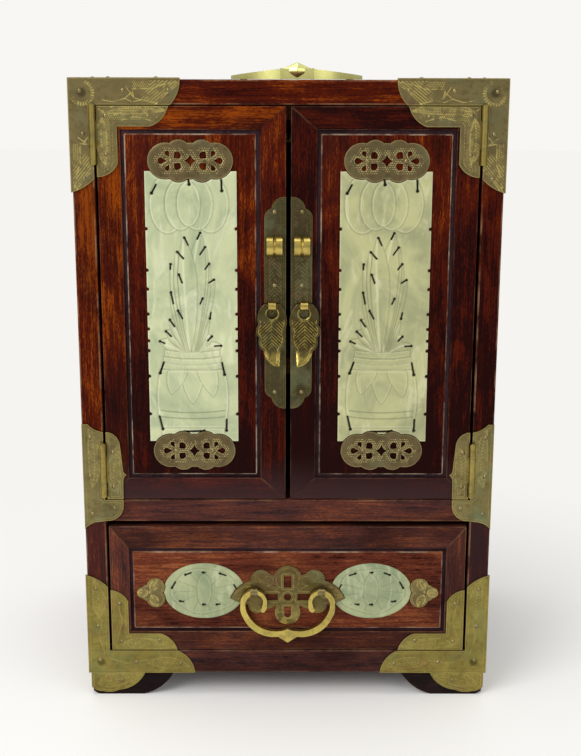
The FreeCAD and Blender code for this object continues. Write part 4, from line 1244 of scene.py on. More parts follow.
def engraved(cut: Array, inside: Array, deep: float = 0.05, hollow: Optional[Array] = None) -> Marks:
    """A brass face with cut lines and a rubbed rim.

    Args:
        cut: How much is cut at each point, from 0 to 1.
        inside: How far each point lies inside the edge.
        deep: How deep the lines are.
        hollow: How much painted shade and dirt darkens each point, or None.

    Returns:
        The heights and marks.
    """
    round_edge = 0.10 * ease(0.0, 0.7, inside)
    rim = 0.25 * (1 - ease(0.1, 0.5, inside))
    shade = np.zeros(len(cut)) if hollow is None else hollow
    return {"height": 0.04 + round_edge - deep * cut, "cut": np.clip(cut + rim, 0, 1), "hollow": shade}


def veined(p: Array, inside: Array, leaves: Sequence[Frond], pitch: float, share: float, edge: Triple) -> Marks:
    """A brass face with engraved leaves and a line along its edge.

    Args:
        p: The points.
        inside: How far each lies inside the edge.
        leaves: The leaves.
        pitch: How far apart their veins are.
        share: How strongly they are cut.
        edge: How far in the line is, how wide it is and how strongly it is cut.

    Returns:
        The heights and marks.
    """
    away, width, strength = edge
    cut = [engraved_leaf(p, leaf, pitch) * share for leaf in leaves]
    return engraved(most([*cut, line(inside - away, width) * strength]), inside)


# ---- the case


@dataclass
class Case:
    """The boards, feet and plain brass of the case."""

    finishes: Finishes
    back_thickness: float = 5.0
    soft: float = 0.9

    def build(self) -> None:
        """Make the boards and dress what stays as it is."""
        w, o, f, b = AT.half_width, AT.opening_half, AT.front, AT.back
        inner_back, floor, top = b - self.back_thickness, AT.drawer_floor, AT.opening_top
        wood, across, upright = self.finishes, Grain.ACROSS, Grain.UPRIGHT
        self._board("top", (-w, f, top), (w, b, AT.case_top), across, 1, wood["case_wood"], -0.12)
        self._board("bottom", (-w, f, AT.case_bottom), (w, b, floor), across, 2, wood["rail_wood"], -0.10)
        # The right side is made darker and the left side lighter: painted shade and light, the light falling from the
        # left.
        self._board("right_side", (o, f, floor), (w, b, top), upright, 3, wood["case_wood"], -0.22)
        self._board("left_side", (-w, f, floor), (-o, b, top), upright, 4, wood["case_wood"], 0.12)
        self._board("divider", (-o, f, AT.divider_bottom), (o, inner_back, AT.divider_top), across, 5,
                    wood["rail_wood"])
        self._board("back", (-o, inner_back, floor), (o, b, top), upright, 6, wood["case_wood"])
        dress_nodes(wood["foot_wood"], "front_feet", "rear_feet")
        for hand in HANDS:
            dress_nodes(wood["hinge_brass"], hand + "_top_corner_plate", hand + "_lower_hinge_plate")
            dress_nodes(wood["sheet_brass"], hand + "_bottom_corner_plate")
        dress_nodes(wood["sheet_brass"], "foot_plates")
        dress_nodes(wood["nail_brass"], "case_nails", "hinge_pins")

    def _board(self, name: str, low: Triple, high: Triple, grain: Grain, seed: int, finish: Material,
               tone: float = 0.0) -> None:
        """Make one board between two corners in millimetres."""
        made = plank(Vector(low) * MM, Vector(high) * MM, grain, self.soft, seed, tone)
        fit(boards(name + "_plank", made), "case", finish, "case_wood", name + "_board")


@dataclass(frozen=True)
class Corner:
    """The outline of an L-shaped corner piece, measured from its corner."""

    reach: float
    rise: float
    wide: float
    high: float
    shoulder: float
    drop: float
    door_side: float = 13.4

    def corners(self, lap: float) -> list[Point]:
        """The outline: along the rail, then up the stile.

        Args:
            lap: How far it laps over the rail's edge.

        Returns:
            The points in order.
        """
        reach, rise, wide, high, door = self.reach, self.rise, self.wide, self.high, self.door_side
        far, end = reach - self.shoulder, rise - self.drop
        return outline(
            (-AT.brass, -lap), (reach, -lap), ((reach - self.shoulder * 0.32, 8.6), (far, 14.0)),
            ((far - 3.5, high - 3.9), (far - 9.5, high)), (wide, high), (wide, end - 7.0),
            ((wide - 3.2, end - 2.8), (door, end)), (door - 1.4, rise - 7.6), ((7.4, rise - 3.6), (-AT.brass, rise)))


@dataclass
class CornerPlates:
    """The engraved faces of the brass at the four front corners."""

    finishes: Finishes
    top: Corner = Corner(58.0, 58.8, 24.5, 24.2, 6.4, 8.2)
    bottom: Corner = Corner(61.2, 60.8, 23.2, 24.7, 10.0, 9.2)
    inset: float = 0.12
    step: float = 0.30
    nail: Point = (6.7, 6.9)

    def build(self) -> None:
        """Make every face on both sides."""
        clear = AT.knuckle_clear
        knuckles = block(AT.hinge_x - clear, AT.hinge_x + clear, AT.hinge_high - 0.3, AT.opening_top + 0.4)
        top_front, low_front = Lay(AT.half_width, AT.case_top, -1, -1), Lay(AT.half_width, AT.case_bottom, -1, 1)
        front = place_on(Seat.FRONT, AT.plate_face * MM)
        side, over = place_on(Seat.SIDE, AT.side_face * MM), place_on(Seat.TOP, AT.top_face * MM)
        faces = (
            ("top_corner_face", self.top, AT.brass, top_front, front, "case", CUPBOARD | knuckles),
            ("door_corner_face", self.top, AT.brass, top_front, front, "{hand}_door", knuckles, DOOR_SPACE),
            ("top_corner_side", self.top, 0, Lay(AT.front, AT.case_top, 1, -1), side, "case"),
            ("top_corner_cover", self.top, 0, Lay(AT.half_width, AT.front, -1, 1), over, "case"),
            ("bottom_corner_face", self.bottom, 0, low_front, front, "case", DRAWER_OPENING),
            ("drawer_corner_face", self.bottom, 0, low_front, front, "drawer", None, DRAWER_SPACE),
            ("bottom_corner_side", self.bottom, 0, Lay(AT.front, AT.case_bottom, 1, 1), side, "case"))
        for hand in HANDS:
            for face in faces:
                self._face(hand, *face)

    def _face(self, hand: str, name: str, corner: Corner, lap: float, lay: Lay, place: Matrix, body: str,
              without: Optional[Shape] = None, within: Optional[Shape] = None) -> None:
        """Make one engraved face.

        Args:
            hand: "right" or "left".
            name: The rest of the piece's name.
            corner: The outline that it has.
            lap: How far the outline laps over the rail's edge.
            lay: How the outline lies on the face.
            place: The face.
            body: The body that it moves with.
            without: What is left out of it.
            within: What it is kept to.
        """
        corners = lay.out(corner.corners(lap))
        shape = polygon(corners)
        if without:
            shape = shape - without
        if within:
            shape = shape & within
        shape = shape.grown(-self.inset)
        on_case, is_top = body == "case", corner is self.top

        def work(p: Array) -> Marks:
            """The engraving of this face."""
            inside, q = -shape.distance(p), lay.back(p)
            draw = self._top_marks if is_top else self._bottom_marks
            far = np.hypot(*(q - np.array(self.nail)).T)
            # A darker ring round the nail: painted shade round the nail head, with dirt.
            grime = 0.7 * (1 - ease(1.4, 3.2, far)) * on_case
            return engraved(draw(q, inside, on_case), inside, hollow=grime)

        low, high = bounds_of(corners)
        if within is DOOR_SPACE:
            low, high = (max(low[0], 1.0), low[1]), (102.0, 338.2)
        sheet = WorkedSheet(shape, low, high, work, self.step)
        finish = self.finishes["worked_brass"] if is_top else self.finishes["low_brass"]
        fit(sheet.build(f"{hand}_{name}", place, hand == "left"), body.format(hand=hand), finish, "sheet_brass")

    def _top_marks(self, q: Array, inside: Array, on_case: bool) -> Array:
        """Cut lines of the top corners: a fan and two long leaves on the case, granulated vines on the door.

        Args:
            q: Points measured from the corner.
            inside: How far each lies inside the edge.
            on_case: Whether this is the case's part.

        Returns:
            How much is cut at each point.
        """
        if on_case:
            away = q - np.array(self.nail)
            far, turn = np.hypot(*away.T), np.arctan2(away[:, 1], away[:, 0])
            open_part = ease(-0.2, 0.2, np.cos(turn - math.pi / 4) + 0.45)
            fan_arc = ripple(turn * 5.6, 1.35) * (1 - ease(0.7, 1.2, np.abs(far - 5.7))) * open_part
            legs = [self._leg(side) for side in (q, q[:, ::-1])]
            return most([fan_arc * 0.8, *legs])
        grain = stipple(q, 1.05) * ease(3.0, 3.6, inside) * 0.7
        dots = line(inside - 2.3, 0.55) * stipple(q, 1.0)
        vines = [Frond((17.0, 17.0), (30.0, 13.0), (50.0, 16.0), 3.0),
                 Frond((17.0, 20.0), (15.0, 32.0), (18.0, 44.0), 3.0)]
        stems = [[(15.0, 15.0), (21.0, 19.0), (27.0, 17.0)], [(27.0, 21.0), (34.0, 19.0), (44.0, 21.5)]]
        return most([grain, dots, strokes(q, stems, 0.4), *[engraved_leaf(q, vine, 1.5) * 0.6 for vine in vines]])

    def _leg(self, q: Array) -> Array:
        """The drawing along one leg of a top corner: a hatched leaf, a checkered band and the lines round them.

        Args:
            q: Points measured from the corner, along the leg first.

        Returns:
            How much is cut at each point.
        """
        u, v = q[:, 0], q[:, 1]
        leaf = ease(0.0, 0.6, 58.0 - 1.18 * (v - 2.0) - u) * ease(33.5, 34.5, u)
        leaf = leaf * ease(0.0, 0.6, 10.0 + 0.25 * (u - 34.0) - v) * ease(0.4, 0.8, v)
        band = ease(33.0, 33.6, u) * (1 - ease(42.0, 42.6, u)) * ease(0.5, 1.0, v) * (1 - ease(4.4, 4.9, v))
        hatch = ripple(u * 0.62 + v * 0.78, 1.3) ** 2 * leaf * (1 - band) * ease(40.0, 44.0, u + v * 0.4)
        lines = [[(58.0, 2.0), (51.2, 7.0), (45.0, 13.0)], [(30.0, 4.0), (34.0, 9.6), (46.0, 12.4)],
                 [(34.0, 9.6), (33.0, 5.0), (42.5, 4.9)], [(43.0, 5.0), (48.0, 3.0), (57.0, 1.2)],
                 [(17.0, 10.5), (23.0, 11.6), (29.0, 9.8), (33.0, 6.6)], [(29.0, 9.8), (33.0, 11.5), (38.0, 10.6)]]
        return most([hatch * 0.75, stipple(q, 1.15) * band * 0.9, strokes(q, lines, 0.42)])

    def _bottom_marks(self, q: Array, inside: Array, on_case: bool) -> Array:
        """Fainter cut lines of the bottom corners, mostly rubbed away.

        Args:
            q: Points measured from the corner.
            inside: How far each lies inside the edge.
            on_case: Whether this is the case's part.

        Returns:
            How much is cut at each point.
        """
        if on_case:
            leaves = [Frond((34.0, 6.0), (46.0, 7.6), (58.0, 4.0), 3.4),
                      Frond((6.0, 34.0), (7.6, 46.0), (4.0, 58.0), 3.4)]
            lines = [[(12.0, 9.0), (22.0, 6.0), (33.0, 8.0)], [(9.0, 12.0), (6.0, 22.0), (8.0, 33.0)]]
        else:
            leaves = [Frond((18.0, 18.0), (30.0, 20.0), (50.0, 16.5), 3.2)]
            lines = [[(16.0, 20.0), (19.5, 32.0), (16.5, 48.0)], [(26.0, 22.0), (36.0, 21.0), (44.0, 18.0)]]
        return most([*[engraved_leaf(q, leaf, 2.0) * 0.24 for leaf in leaves], strokes(q, lines, 0.5) * 0.3,
                     line(inside - 1.6, 0.6) * 0.15])


@dataclass
class LowerHinges:
    """The faintly engraved faces of the lower hinge plates."""

    finishes: Finishes
    width: float = 22.7
    rise: float = 44.2
    fall: float = 17.4
    inset: float = 0.12
    leaves: tuple = (Frond((110.0, 128.0), (106.0, 146.0), (111.0, 162.0), 3.4),
                     Frond((96.0, 124.0), (100.0, 134.0), (95.0, 152.0), 3.6))

    def corners(self) -> list[Point]:
        """The outline of both plates together, on the right.

        Returns:
            The points in order.
        """
        x0, z = AT.half_width, AT.divider_top
        inner, top, bottom = x0 - self.width, z + self.rise, z - self.fall
        return outline(
            (x0, top), (x0 - 3.5, top), ((x0 - 8.0, top - 3.4), (x0 - 13.0, top - 4.6)), (x0 - 14.9, top - 4.6),
            ((inner + 4.2, top - 6.6), (inner + 1.6, top - 12.0)), (inner + 0.3, z + 17.8),
            ((inner - 0.4, z + 15.8), (inner - 1.6, z + 14.8)), ((inner - 0.2, z + 13.2), (inner + 0.3, z + 11.6)),
            (inner + 0.5, z - 3.0), ((inner + 3.0, z - 9.6), (inner + 10.0, z - 12.4)), (x0 - 6.5, z - 13.2),
            ((x0 - 3.0, z - 14.6), (x0, bottom)))

    def build(self) -> None:
        """Make the case's and the doors' faces."""
        clear, low_end = AT.knuckle_clear, AT.hinge_low - 0.4
        knuckles = block(AT.hinge_x - clear, AT.hinge_x + clear, low_end, AT.hinge_low + AT.hinge_length + 0.4)
        corners = self.corners()
        whole = polygon(corners)
        place = place_on(Seat.FRONT, AT.plate_face * MM)
        parts = (("case", "case", whole - (CUPBOARD | knuckles)),
                 ("door", "{hand}_door", (whole & DOOR_SPACE) - knuckles))
        for part, body, shape in parts:
            shape = shape.grown(-self.inset)
            sheet = WorkedSheet(shape, *bounds_of(corners), partial(self._work, shape), 0.35)
            fit_both(sheet, f"{{hand}}_lower_hinge_{part}_face", place, body, self.finishes["dull_brass"])

    def _work(self, shape: Shape, p: Array) -> Marks:
        """Faint leaves along the case's part and on the door's."""
        return veined(p, -shape.distance(p), self.leaves, 1.9, 0.3, (1.4, 0.5, 0.25))


@dataclass
class FootPlates:
    """The engraved faces of the brass round the front feet."""

    finishes: Finishes
    reach: float = 32.0
    low: float = 1.6
    foot_round: float = 4.3
    foot_inset: float = 1.2
    inset: float = 0.12
    leaf: Frond = Frond((4.0, 7.0), (14.0, 9.5), (29.0, 12.0), 4.0, 0.35)

    def build(self) -> None:
        """Make the front and side faces of both feet."""
        inset, top, reach, rounded = self.foot_inset, AT.case_bottom, self.reach, self.foot_round
        outer = inset - AT.brass
        corners = outline(
            (outer, top), (reach, top), ((reach - 6.5, 6.2), (reach - 15.5, 3.0)),
            ((reach - 20.0, self.low), (inset + rounded + 1.0, self.low + 0.6)),
            ((inset + rounded * 0.35, rounded * 0.7), (outer, rounded + 1.4)))
        front = place_on(Seat.FRONT, (AT.front + outer) * MM)
        side = place_on(Seat.SIDE, (AT.half_width - outer) * MM)
        for part, lay, place in (("face", Lay(AT.half_width, 0, -1, 1), front),
                                 ("side", Lay(AT.front, 0, 1, 1), side)):
            shape = polygon(lay.out(corners)).grown(-self.inset)
            sheet = WorkedSheet(shape, *bounds_of(lay.out(corners)), partial(self._work, shape, lay), 0.35)
            fit_both(sheet, "{hand}_foot_plate_" + part, place, "case", self.finishes["low_brass"])

    def _work(self, shape: Shape, lay: Lay, p: Array) -> Marks:
        """A leaf along the plate."""
        return veined(lay.back(p), -shape.distance(p), [self.leaf], 1.8, 0.3, (1.2, 0.6, 0.3))


# ---- the doors


@dataclass
class Carving:
    """A low carving worked out point by point, with the marks that its finish reads."""

    height: Array
    # How much painted shade and dirt darkens each point, and how much painted highlight lightens it.
    hollow: Array
    crest: Array
    pierced: Array

    @classmethod
    def level(cls, p: Array, height: float) -> "Carving":
        """A flat start."""
        return cls(*[np.full(len(p), value) for value in (height, 0.0, 0.0, 0.0)])

    def form(self, distance: Array, foot: float, rise: float, soft: float, rim: float = 0.7) -> None:
        """Lay a rounded form over what is there.

        Args:
            distance: The distance from the form's outline, below zero inside.
            foot: Its height at the outline.
            rise: How much higher it is in its middle.
            soft: How far in it goes on rising.
            rim: How wide the painted highlight along its edge is.
        """
        mask = 1 - ease(-0.25, 0.15, distance)
        dome = foot + rise * np.sqrt(1 - (1 - np.clip(-distance / soft, 0, 1)) ** 2)
        self.height = self.height * (1 - mask) + dome * mask
        self.hollow = self.hollow * (1 - mask)
        # A pale line just inside the outline: painted highlight.
        self.crest = np.maximum(self.crest * (1 - mask), line(distance + rim * 0.5, rim) * 0.55)
        # Painted shade and dirt just outside the form's foot.
        self.hollow = np.maximum(self.hollow, 0.6 * (1 - ease(0.0, 1.2, distance)) * (distance > 0))

    def groove(self, distance: Array, width: float, deep: float, keep: Array) -> None:
        """Cut a line.

        Args:
            distance: The distance from the line.
            width: Its width.
            deep: Its depth.
            keep: Where it is cut, from 0 to 1.
        """
        mark = line(distance, width) * keep
        self.height = self.height - deep * mark
        # Painted shade and dirt in the cut line.
        self.hollow = np.maximum(self.hollow, 0.7 * mark)

    def leaf(self, p: Array, leaf: Frond, foot: float, rise: float) -> None:
        """Lay a ribbed leaf over what is there.

        Args:
            p: The points.
            leaf: The leaf.
            foot: Its height at the edge.
            rise: How high its rib is over that.
        """
        side, _, half = leaf.fit(p)
        mask = ease(-0.25, 0.15, half - np.abs(side))
        slope = foot + rise * np.clip(1 - np.abs(side - half * 0.35) / np.maximum(half, 0.1), 0, 1)
        self.height = self.height * (1 - mask) + slope * mask
        self.hollow = self.hollow * (1 - mask)
        # Painted highlight along the rib, and painted shade with dirt along the leaf's edge.
        self.crest = np.maximum(self.crest * (1 - mask), line(side - half * 0.35, 1.3) * mask * 0.7)
        self.hollow = np.maximum(self.hollow, line(np.abs(side) - half, 0.8) * 0.6)

    def pierce(self, p: Array, start: Point, end: Point, radius: float, bottom: float) -> None:
        """Cut a slot that ends in a round hole.

        Args:
            p: The points.
            start: One end.
            end: The end with the hole.
            radius: Half its width.
            bottom: The height left under it.
        """
        slot = bar(start, end, radius) | rounds([(*end, radius * 1.7)])
        mask = 1 - ease(-0.1, 0.22, slot.distance(p))
        self.height = self.height * (1 - mask) + bottom * mask
        self.pierced = np.maximum(self.pierced, mask)
        self.crest = self.crest * (1 - mask)

    def marks(self) -> Marks:
        """The heights and marks for a worked sheet."""
        return {"height": self.height, "hollow": np.clip(self.hollow, 0, 1), "crest": np.clip(self.crest, 0, 1),
                "pierced": self.pierced}


@dataclass
class DoorPlaque:
    """The carved stone plaque of a door: a bud over a spray of leaves in a vase, with pierced slots."""

    width: float = 49.0
    height: float = 149.0
    centre_x: float = 52.2
    centre_z: float = 229.4
    seat: float = 1.6
    bottom: float = 0.06
    base: Point = (-0.6, -25.0)
    spray: tuple = (
        ((-15.5, -18.8), (-18.0, -17.7)), ((12.0, -20.3), (15.4, -20.2)), ((-11.8, -14.9), (-14.6, -12.2)),
        ((8.2, -17.4), (10.4, -15.0)), ((-9.9, -9.4), (-12.4, -5.8)), ((10.1, -1.7), (9.5, -5.0)),
        ((-5.5, -5.0), (-7.8, -0.7)), ((-10.3, 3.3), (-11.5, 9.4)), ((4.3, 3.1), (5.6, 6.0)),
        ((9.2, 14.7), (11.9, 16.3)), ((-5.3, 14.7), (-7.0, 19.1)), ((7.2, 22.1), (9.4, 25.0)),
        ((-11.6, 22.1), (-11.4, 24.8)), ((-4.4, 27.9), (-7.6, 31.4)), ((4.6, 30.1), (7.3, 34.0)),
        ((3.2, 38.5), (4.8, 41.7)), ((-1.8, 35.1), (-3.7, 39.1)))
    slots: tuple = (
        ((-18.4, 67.4), (-20.8, 62.9)), ((-1.2, 70.5), (-0.7, 67.6)), ((16.4, 70.0), (16.7, 64.2)),
        ((-16.1, -29.5), (-18.3, -35.6)), ((15.9, -29.8), (17.2, -36.4)), ((-19.1, -60.2), (-17.4, -67.6)),
        ((18.1, -62.1), (18.0, -68.4)), ((-5.7, -69.0), (5.5, -68.7)))
    notches: tuple = (44.3, 21.9, 11.5, -2.2, -10.5, -17.1, -22.6, -37.0, -58.5)

    def build(self, hand: str, finish: Material, clouds: Shape) -> None:
        """Make the plaque of one door.

        Args:
            hand: "right" or "left".
            finish: The stone.
            clouds: The outline of the plates that lap over its ends, with their gap, on the right.
        """
        way = -1 if hand == "left" else 1
        x, z = way * self.centre_x, self.centre_z
        half, high = self.width / 2, self.height / 2
        whole = block(x - half, x + half, z - high, z + high)
        lapped = Shape(lambda p: clouds.distance(np.stack([np.abs(p[:, 0]), p[:, 1]], axis=1)))
        shape = whole - lapped

        def work(p: Array) -> Marks:
            """The carving, measured from the plaque's middle."""
            return self.carve(p - np.array((x, z)), -shape.distance(p))

        sheet = WorkedSheet(shape, (x - half, z - high), (x + half, z + high), work, 0.33, self.seat)
        made = sheet.build(f"carved_{hand}_door_plaque", place_on(Seat.FRONT, AT.panel_face * MM))
        fit(made, hand + "_door", finish, "carved_stone", hand + "_door_plaque")

    def carve(self, p: Array, inside: Array) -> Marks:
        """The carving, with points measured from the plaque's middle.

        Args:
            p: The points.
            inside: How far each lies inside the edge.

        Returns:
            The heights and marks.
        """
        ground = Carving.level(p, 0.62)
        ground.height = ground.height + 0.05 * np.sin(p[:, 0] * 0.35 + 0.8 * np.sin(p[:, 1] * 0.11))
        self._bud(ground, p)
        self._leaves(ground, p)
        self._vase(ground, p)
        for start, end in self.spray:
            ground.pierce(p, start, end, 0.42, self.bottom)
        for start, end in self.slots:
            ground.pierce(p, start, end, 0.5, self.bottom)
        for z in self.notches:
            for x in (-self.width / 2, self.width / 2):
                ground.pierce(p, (x, z), (x * 0.985, z - 0.4), 0.5, self.bottom)
        ground.height = ground.height - 0.22 * (1 - ease(0.0, 0.8, inside))
        # A pale band along the plaque's edge: painted highlight.
        ground.crest = np.maximum(ground.crest, 0.6 * (1 - ease(0.1, 0.9, inside)))
        return ground.marks()

    def _bud(self, ground: Carving, p: Array) -> None:
        """The bud at the top, in three layers of petals.

        Args:
            ground: The carving.
            p: The points.
        """
        petals = [(-12.5, 57.0, 9.5, 15.5, 0.47), (10.5, 57.0, 9.5, 15.0, 0.47), (-5.5, 57.0, 8.4, 13.6, 0.54),
                  (3.2, 57.0, 8.4, 13.6, 0.54), (-1.3, 57.2, 6.2, 11.8, 0.62)]
        for *petal, foot in petals:
            ground.form(ellipse(*petal).distance(p), foot, 0.55, petal[2] * 0.8, 0.9)
        veins = ripple(p[:, 0] + 1.3 + 0.02 * (p[:, 1] - 57) ** 2 * np.sign(p[:, 0] + 1.3), 2.4)
        inner = 1 - ease(-2.0, -0.4, ellipse(*petals[-1][:4]).distance(p))
        ground.height = ground.height - 0.05 * veins * inner

    def _leaves(self, ground: Carving, p: Array) -> None:
        """The spray of leaves that opens from the mouth of the vase, the long ones last.

        Args:
            ground: The carving.
            p: The points.
        """
        bx, bz = self.base
        for start, end in self.spray:
            x, z = end
            tip = (x + (x - start[0]) * 0.2, z + (z - start[1]) * 0.2)
            rise = z - bz
            leaf = Frond((bx + x * 0.22, bz), (bx + x * 0.30, bz + rise * 0.62), tip, 3.1 + 0.034 * rise, 0.62)
            ground.leaf(p, leaf, 0.40, 0.75)

    def _vase(self, ground: Carving, p: Array) -> None:
        """The bands and the body of the vase, with hanging petals.

        Args:
            ground: The carving.
            p: The points.
        """
        x, z = p[:, 0] + 0.5, p[:, 1]
        for top, wide in ((-24.0, 15.0), (-28.0, 15.6), (-31.2, 16.2)):
            curve = z - top - 0.006 * x ** 2
            band = np.maximum(np.abs(curve + 1.5) - 1.5, np.abs(x) - wide)
            ground.form(band, 0.58, 0.26, 1.5, 0.5)
        body = np.maximum(np.abs(z + 50.2) - 16.4, np.abs(x) - (17.0 + 2.6 * np.cos((z + 50.2) / 16.4 * 1.3)))
        ground.form(body, 0.50, 0.40, 7.0, 0.8)
        for middle, low, wide in ((0.0, -52.5, 6.0), (-11.5, -47.0, 5.2), (11.5, -48.5, 5.2)):
            share = np.clip((z + 34.5) / (low + 34.5), 0, 1)
            edge = np.abs(x - middle * (0.7 + 0.3 * share)) - wide * np.cos(share * math.pi / 2) ** 0.7
            petal = np.maximum(edge, np.maximum(z + 34.5, low - z))
            ground.form(petal, 0.74, 0.18, 3.0, 0.6)
        for low in (-58.0, -61.5):
            ground.groove(z - low - 0.004 * x ** 2, 0.9, 0.06, (np.abs(x) < 18).astype(float))
        foot = np.maximum(np.abs(z + 70.0) - 2.8, np.abs(x) - 17.2)
        ground.form(foot, 0.55, 0.2, 2.0, 0.6)


@dataclass
class CloudPlates:
    """The pierced brass plates over the ends of the door plaques."""

    finishes: Finishes
    centre_x: float = 52.2
    centres: tuple[float, float] = (149.4, 309.4)
    offset: float = 10.2
    rise: float = 4.6
    radius: float = 6.5
    near: float = 2.05
    length: float = 4.3
    petal_radius: float = 1.6
    inset: float = 0.1
    petals: tuple = ((0, 1.15, 1.1), (64, 0.85, 0.8), (-64, 0.85, 0.8), (140, 1.0, 1.35), (-140, 1.0, 1.35))

    def lobes(self) -> list[tuple[float, float, float]]:
        """The lobes of one plate, measured from its middle.

        Returns:
            The X, Z and radius of each.
        """
        lobes = [(0.0, 0.0, self.radius * 1.45)]
        for side in (-1, 1):
            lobes.append((side * (self.offset + 3.0), 0, self.radius * 1.46))
            lobes += [(side * self.offset * 0.61, up * self.rise, self.radius) for up in (-1, 1)]
        return lobes

    def holes(self) -> Shape:
        """The petals round each nail and the diamond in the middle.

        Returns:
            Their outline.
        """
        made = polygon(outline((3.4, 0), ((1.2, 1.4), (0, 3.9)), ((-1.2, 1.4), (-3.4, 0)),
                               ((-1.2, -1.4), (0, -3.9)), ((1.2, -1.4), (3.4, 0))))
        for degrees, long, wide in self.petals:
            far, radius = self.near + self.length * long, self.petal_radius * wide
            drawn = outline((self.near, 0), (far - radius, radius), ((far, 0), (far - radius, -radius)))
            c, s = math.cos(math.radians(degrees)), math.sin(math.radians(degrees))
            for side in (-1, 1):
                made = made | polygon([(side * (self.offset + u * c - v * s), u * s + v * c) for u, v in drawn])
        return made

    def footprint(self, grow: float) -> Shape:
        """The outline of both plates of the right door."""
        low, high = [rounds(self.lobes()).moved(self.centre_x, z).grown(grow) for z in self.centres]
        return low | high

    def build(self) -> None:
        """Make the faces of all four plates."""
        place = place_on(Seat.FRONT, (AT.panel_face - AT.brass) * MM)
        for n, z in enumerate(self.centres):
            holes = self.holes().moved(self.centre_x, z)
            shape = (rounds(self.lobes()).moved(self.centre_x, z) - holes).grown(-self.inset)
            low, high = (self.centre_x - 25.0, z - 13.0), (self.centre_x + 25.0, z + 13.0)
            sheet = WorkedSheet(
                shape, low, high, lambda p, s=shape, h=holes: self._work(p, s, h), 0.28, open_back=True)
            fit_both(sheet, f"{{hand}}_cloud_plate_face_{n}", place, "{hand}_door", self.finishes["cloud_brass"])

    def _work(self, p: Array, shape: Shape, holes: Shape) -> Marks:
        """Dotted lines round the petals inside a wide plain edge, with painted shade and dirt round the holes.

        Args:
            p: The points.
            shape: The outline.
            holes: The holes' outline.

        Returns:
            The heights and marks.
        """
        inside, from_hole = -shape.distance(p), holes.distance(p)
        ring = (1 - ease(0.9, 1.5, np.abs(from_hole - 1.0))) * stipple(p, 1.25)
        # Darker round the holes: painted shade and dirt.
        marks = engraved(ring * 0.9, inside, hollow=0.35 * (1 - ease(1.6, 2.4, from_hole)))
        marks["height"] = marks["height"] + 0.14 * ease(0.0, 1.6, inside)
        return marks


@dataclass
class LockPlates:
    """The engraved faces of the half lock plates."""

    finishes: Finishes
    inner: float = 1.3
    width: float = 11.6
    low: float = 174.0
    high: float = 290.5
    seat: float = 7.4
    inset: float = 0.12

    def build(self) -> None:
        """Make the right and left faces."""
        x0, x1, z0, z1 = self.inner, self.inner + self.width, self.low, self.high
        corners = outline(
            (x0, z0), ((x0 + 5.6, z0 + 1.9), (x0 + 7.8, z0 + 6.2)), ((x1 - 1.4, z0 + 7.6), (x1, z0 + 10.8)),
            (x1, z1 - 10.8), ((x1 - 1.4, z1 - 7.6), (x0 + 7.8, z1 - 6.2)), ((x0 + 5.6, z1 - 1.9), (x0, z1)))
        shape = polygon(corners).grown(-self.inset)
        sheet = WorkedSheet(shape, *bounds_of(corners), lambda p: self._work(p, -shape.distance(p)), 0.3)
        place = place_on(Seat.FRONT, AT.plate_face * MM)
        fit_both(sheet, "{hand}_lock_plate_face", place, "{hand}_door", self.finishes["lock_brass"])

    def _work(self, p: Array, inside: Array) -> Marks:
        """Dotted bands, and veins that meet in the middle below the loops.

        Args:
            p: The points.
            inside: How far each lies inside the edge.

        Returns:
            The heights and marks.
        """
        x, z = p[:, 0], p[:, 1]
        rope = line(inside - 1.1, 0.5) * ripple(z + x, 1.1)
        dots = stipple(p, 1.25) * ease(1.6, 2.2, inside) * (1 - ease(3.0, 3.6, inside) * 0.7)
        veins = ripple(z + np.abs(x - self.seat) * 1.1, 2.2) ** 2 * (z < 258) * (z > 200) * ease(1.8, 2.4, inside)
        cut = most([rope * 0.5, dots * 0.35, veins * 0.35])
        return engraved(cut, inside, 0.06)


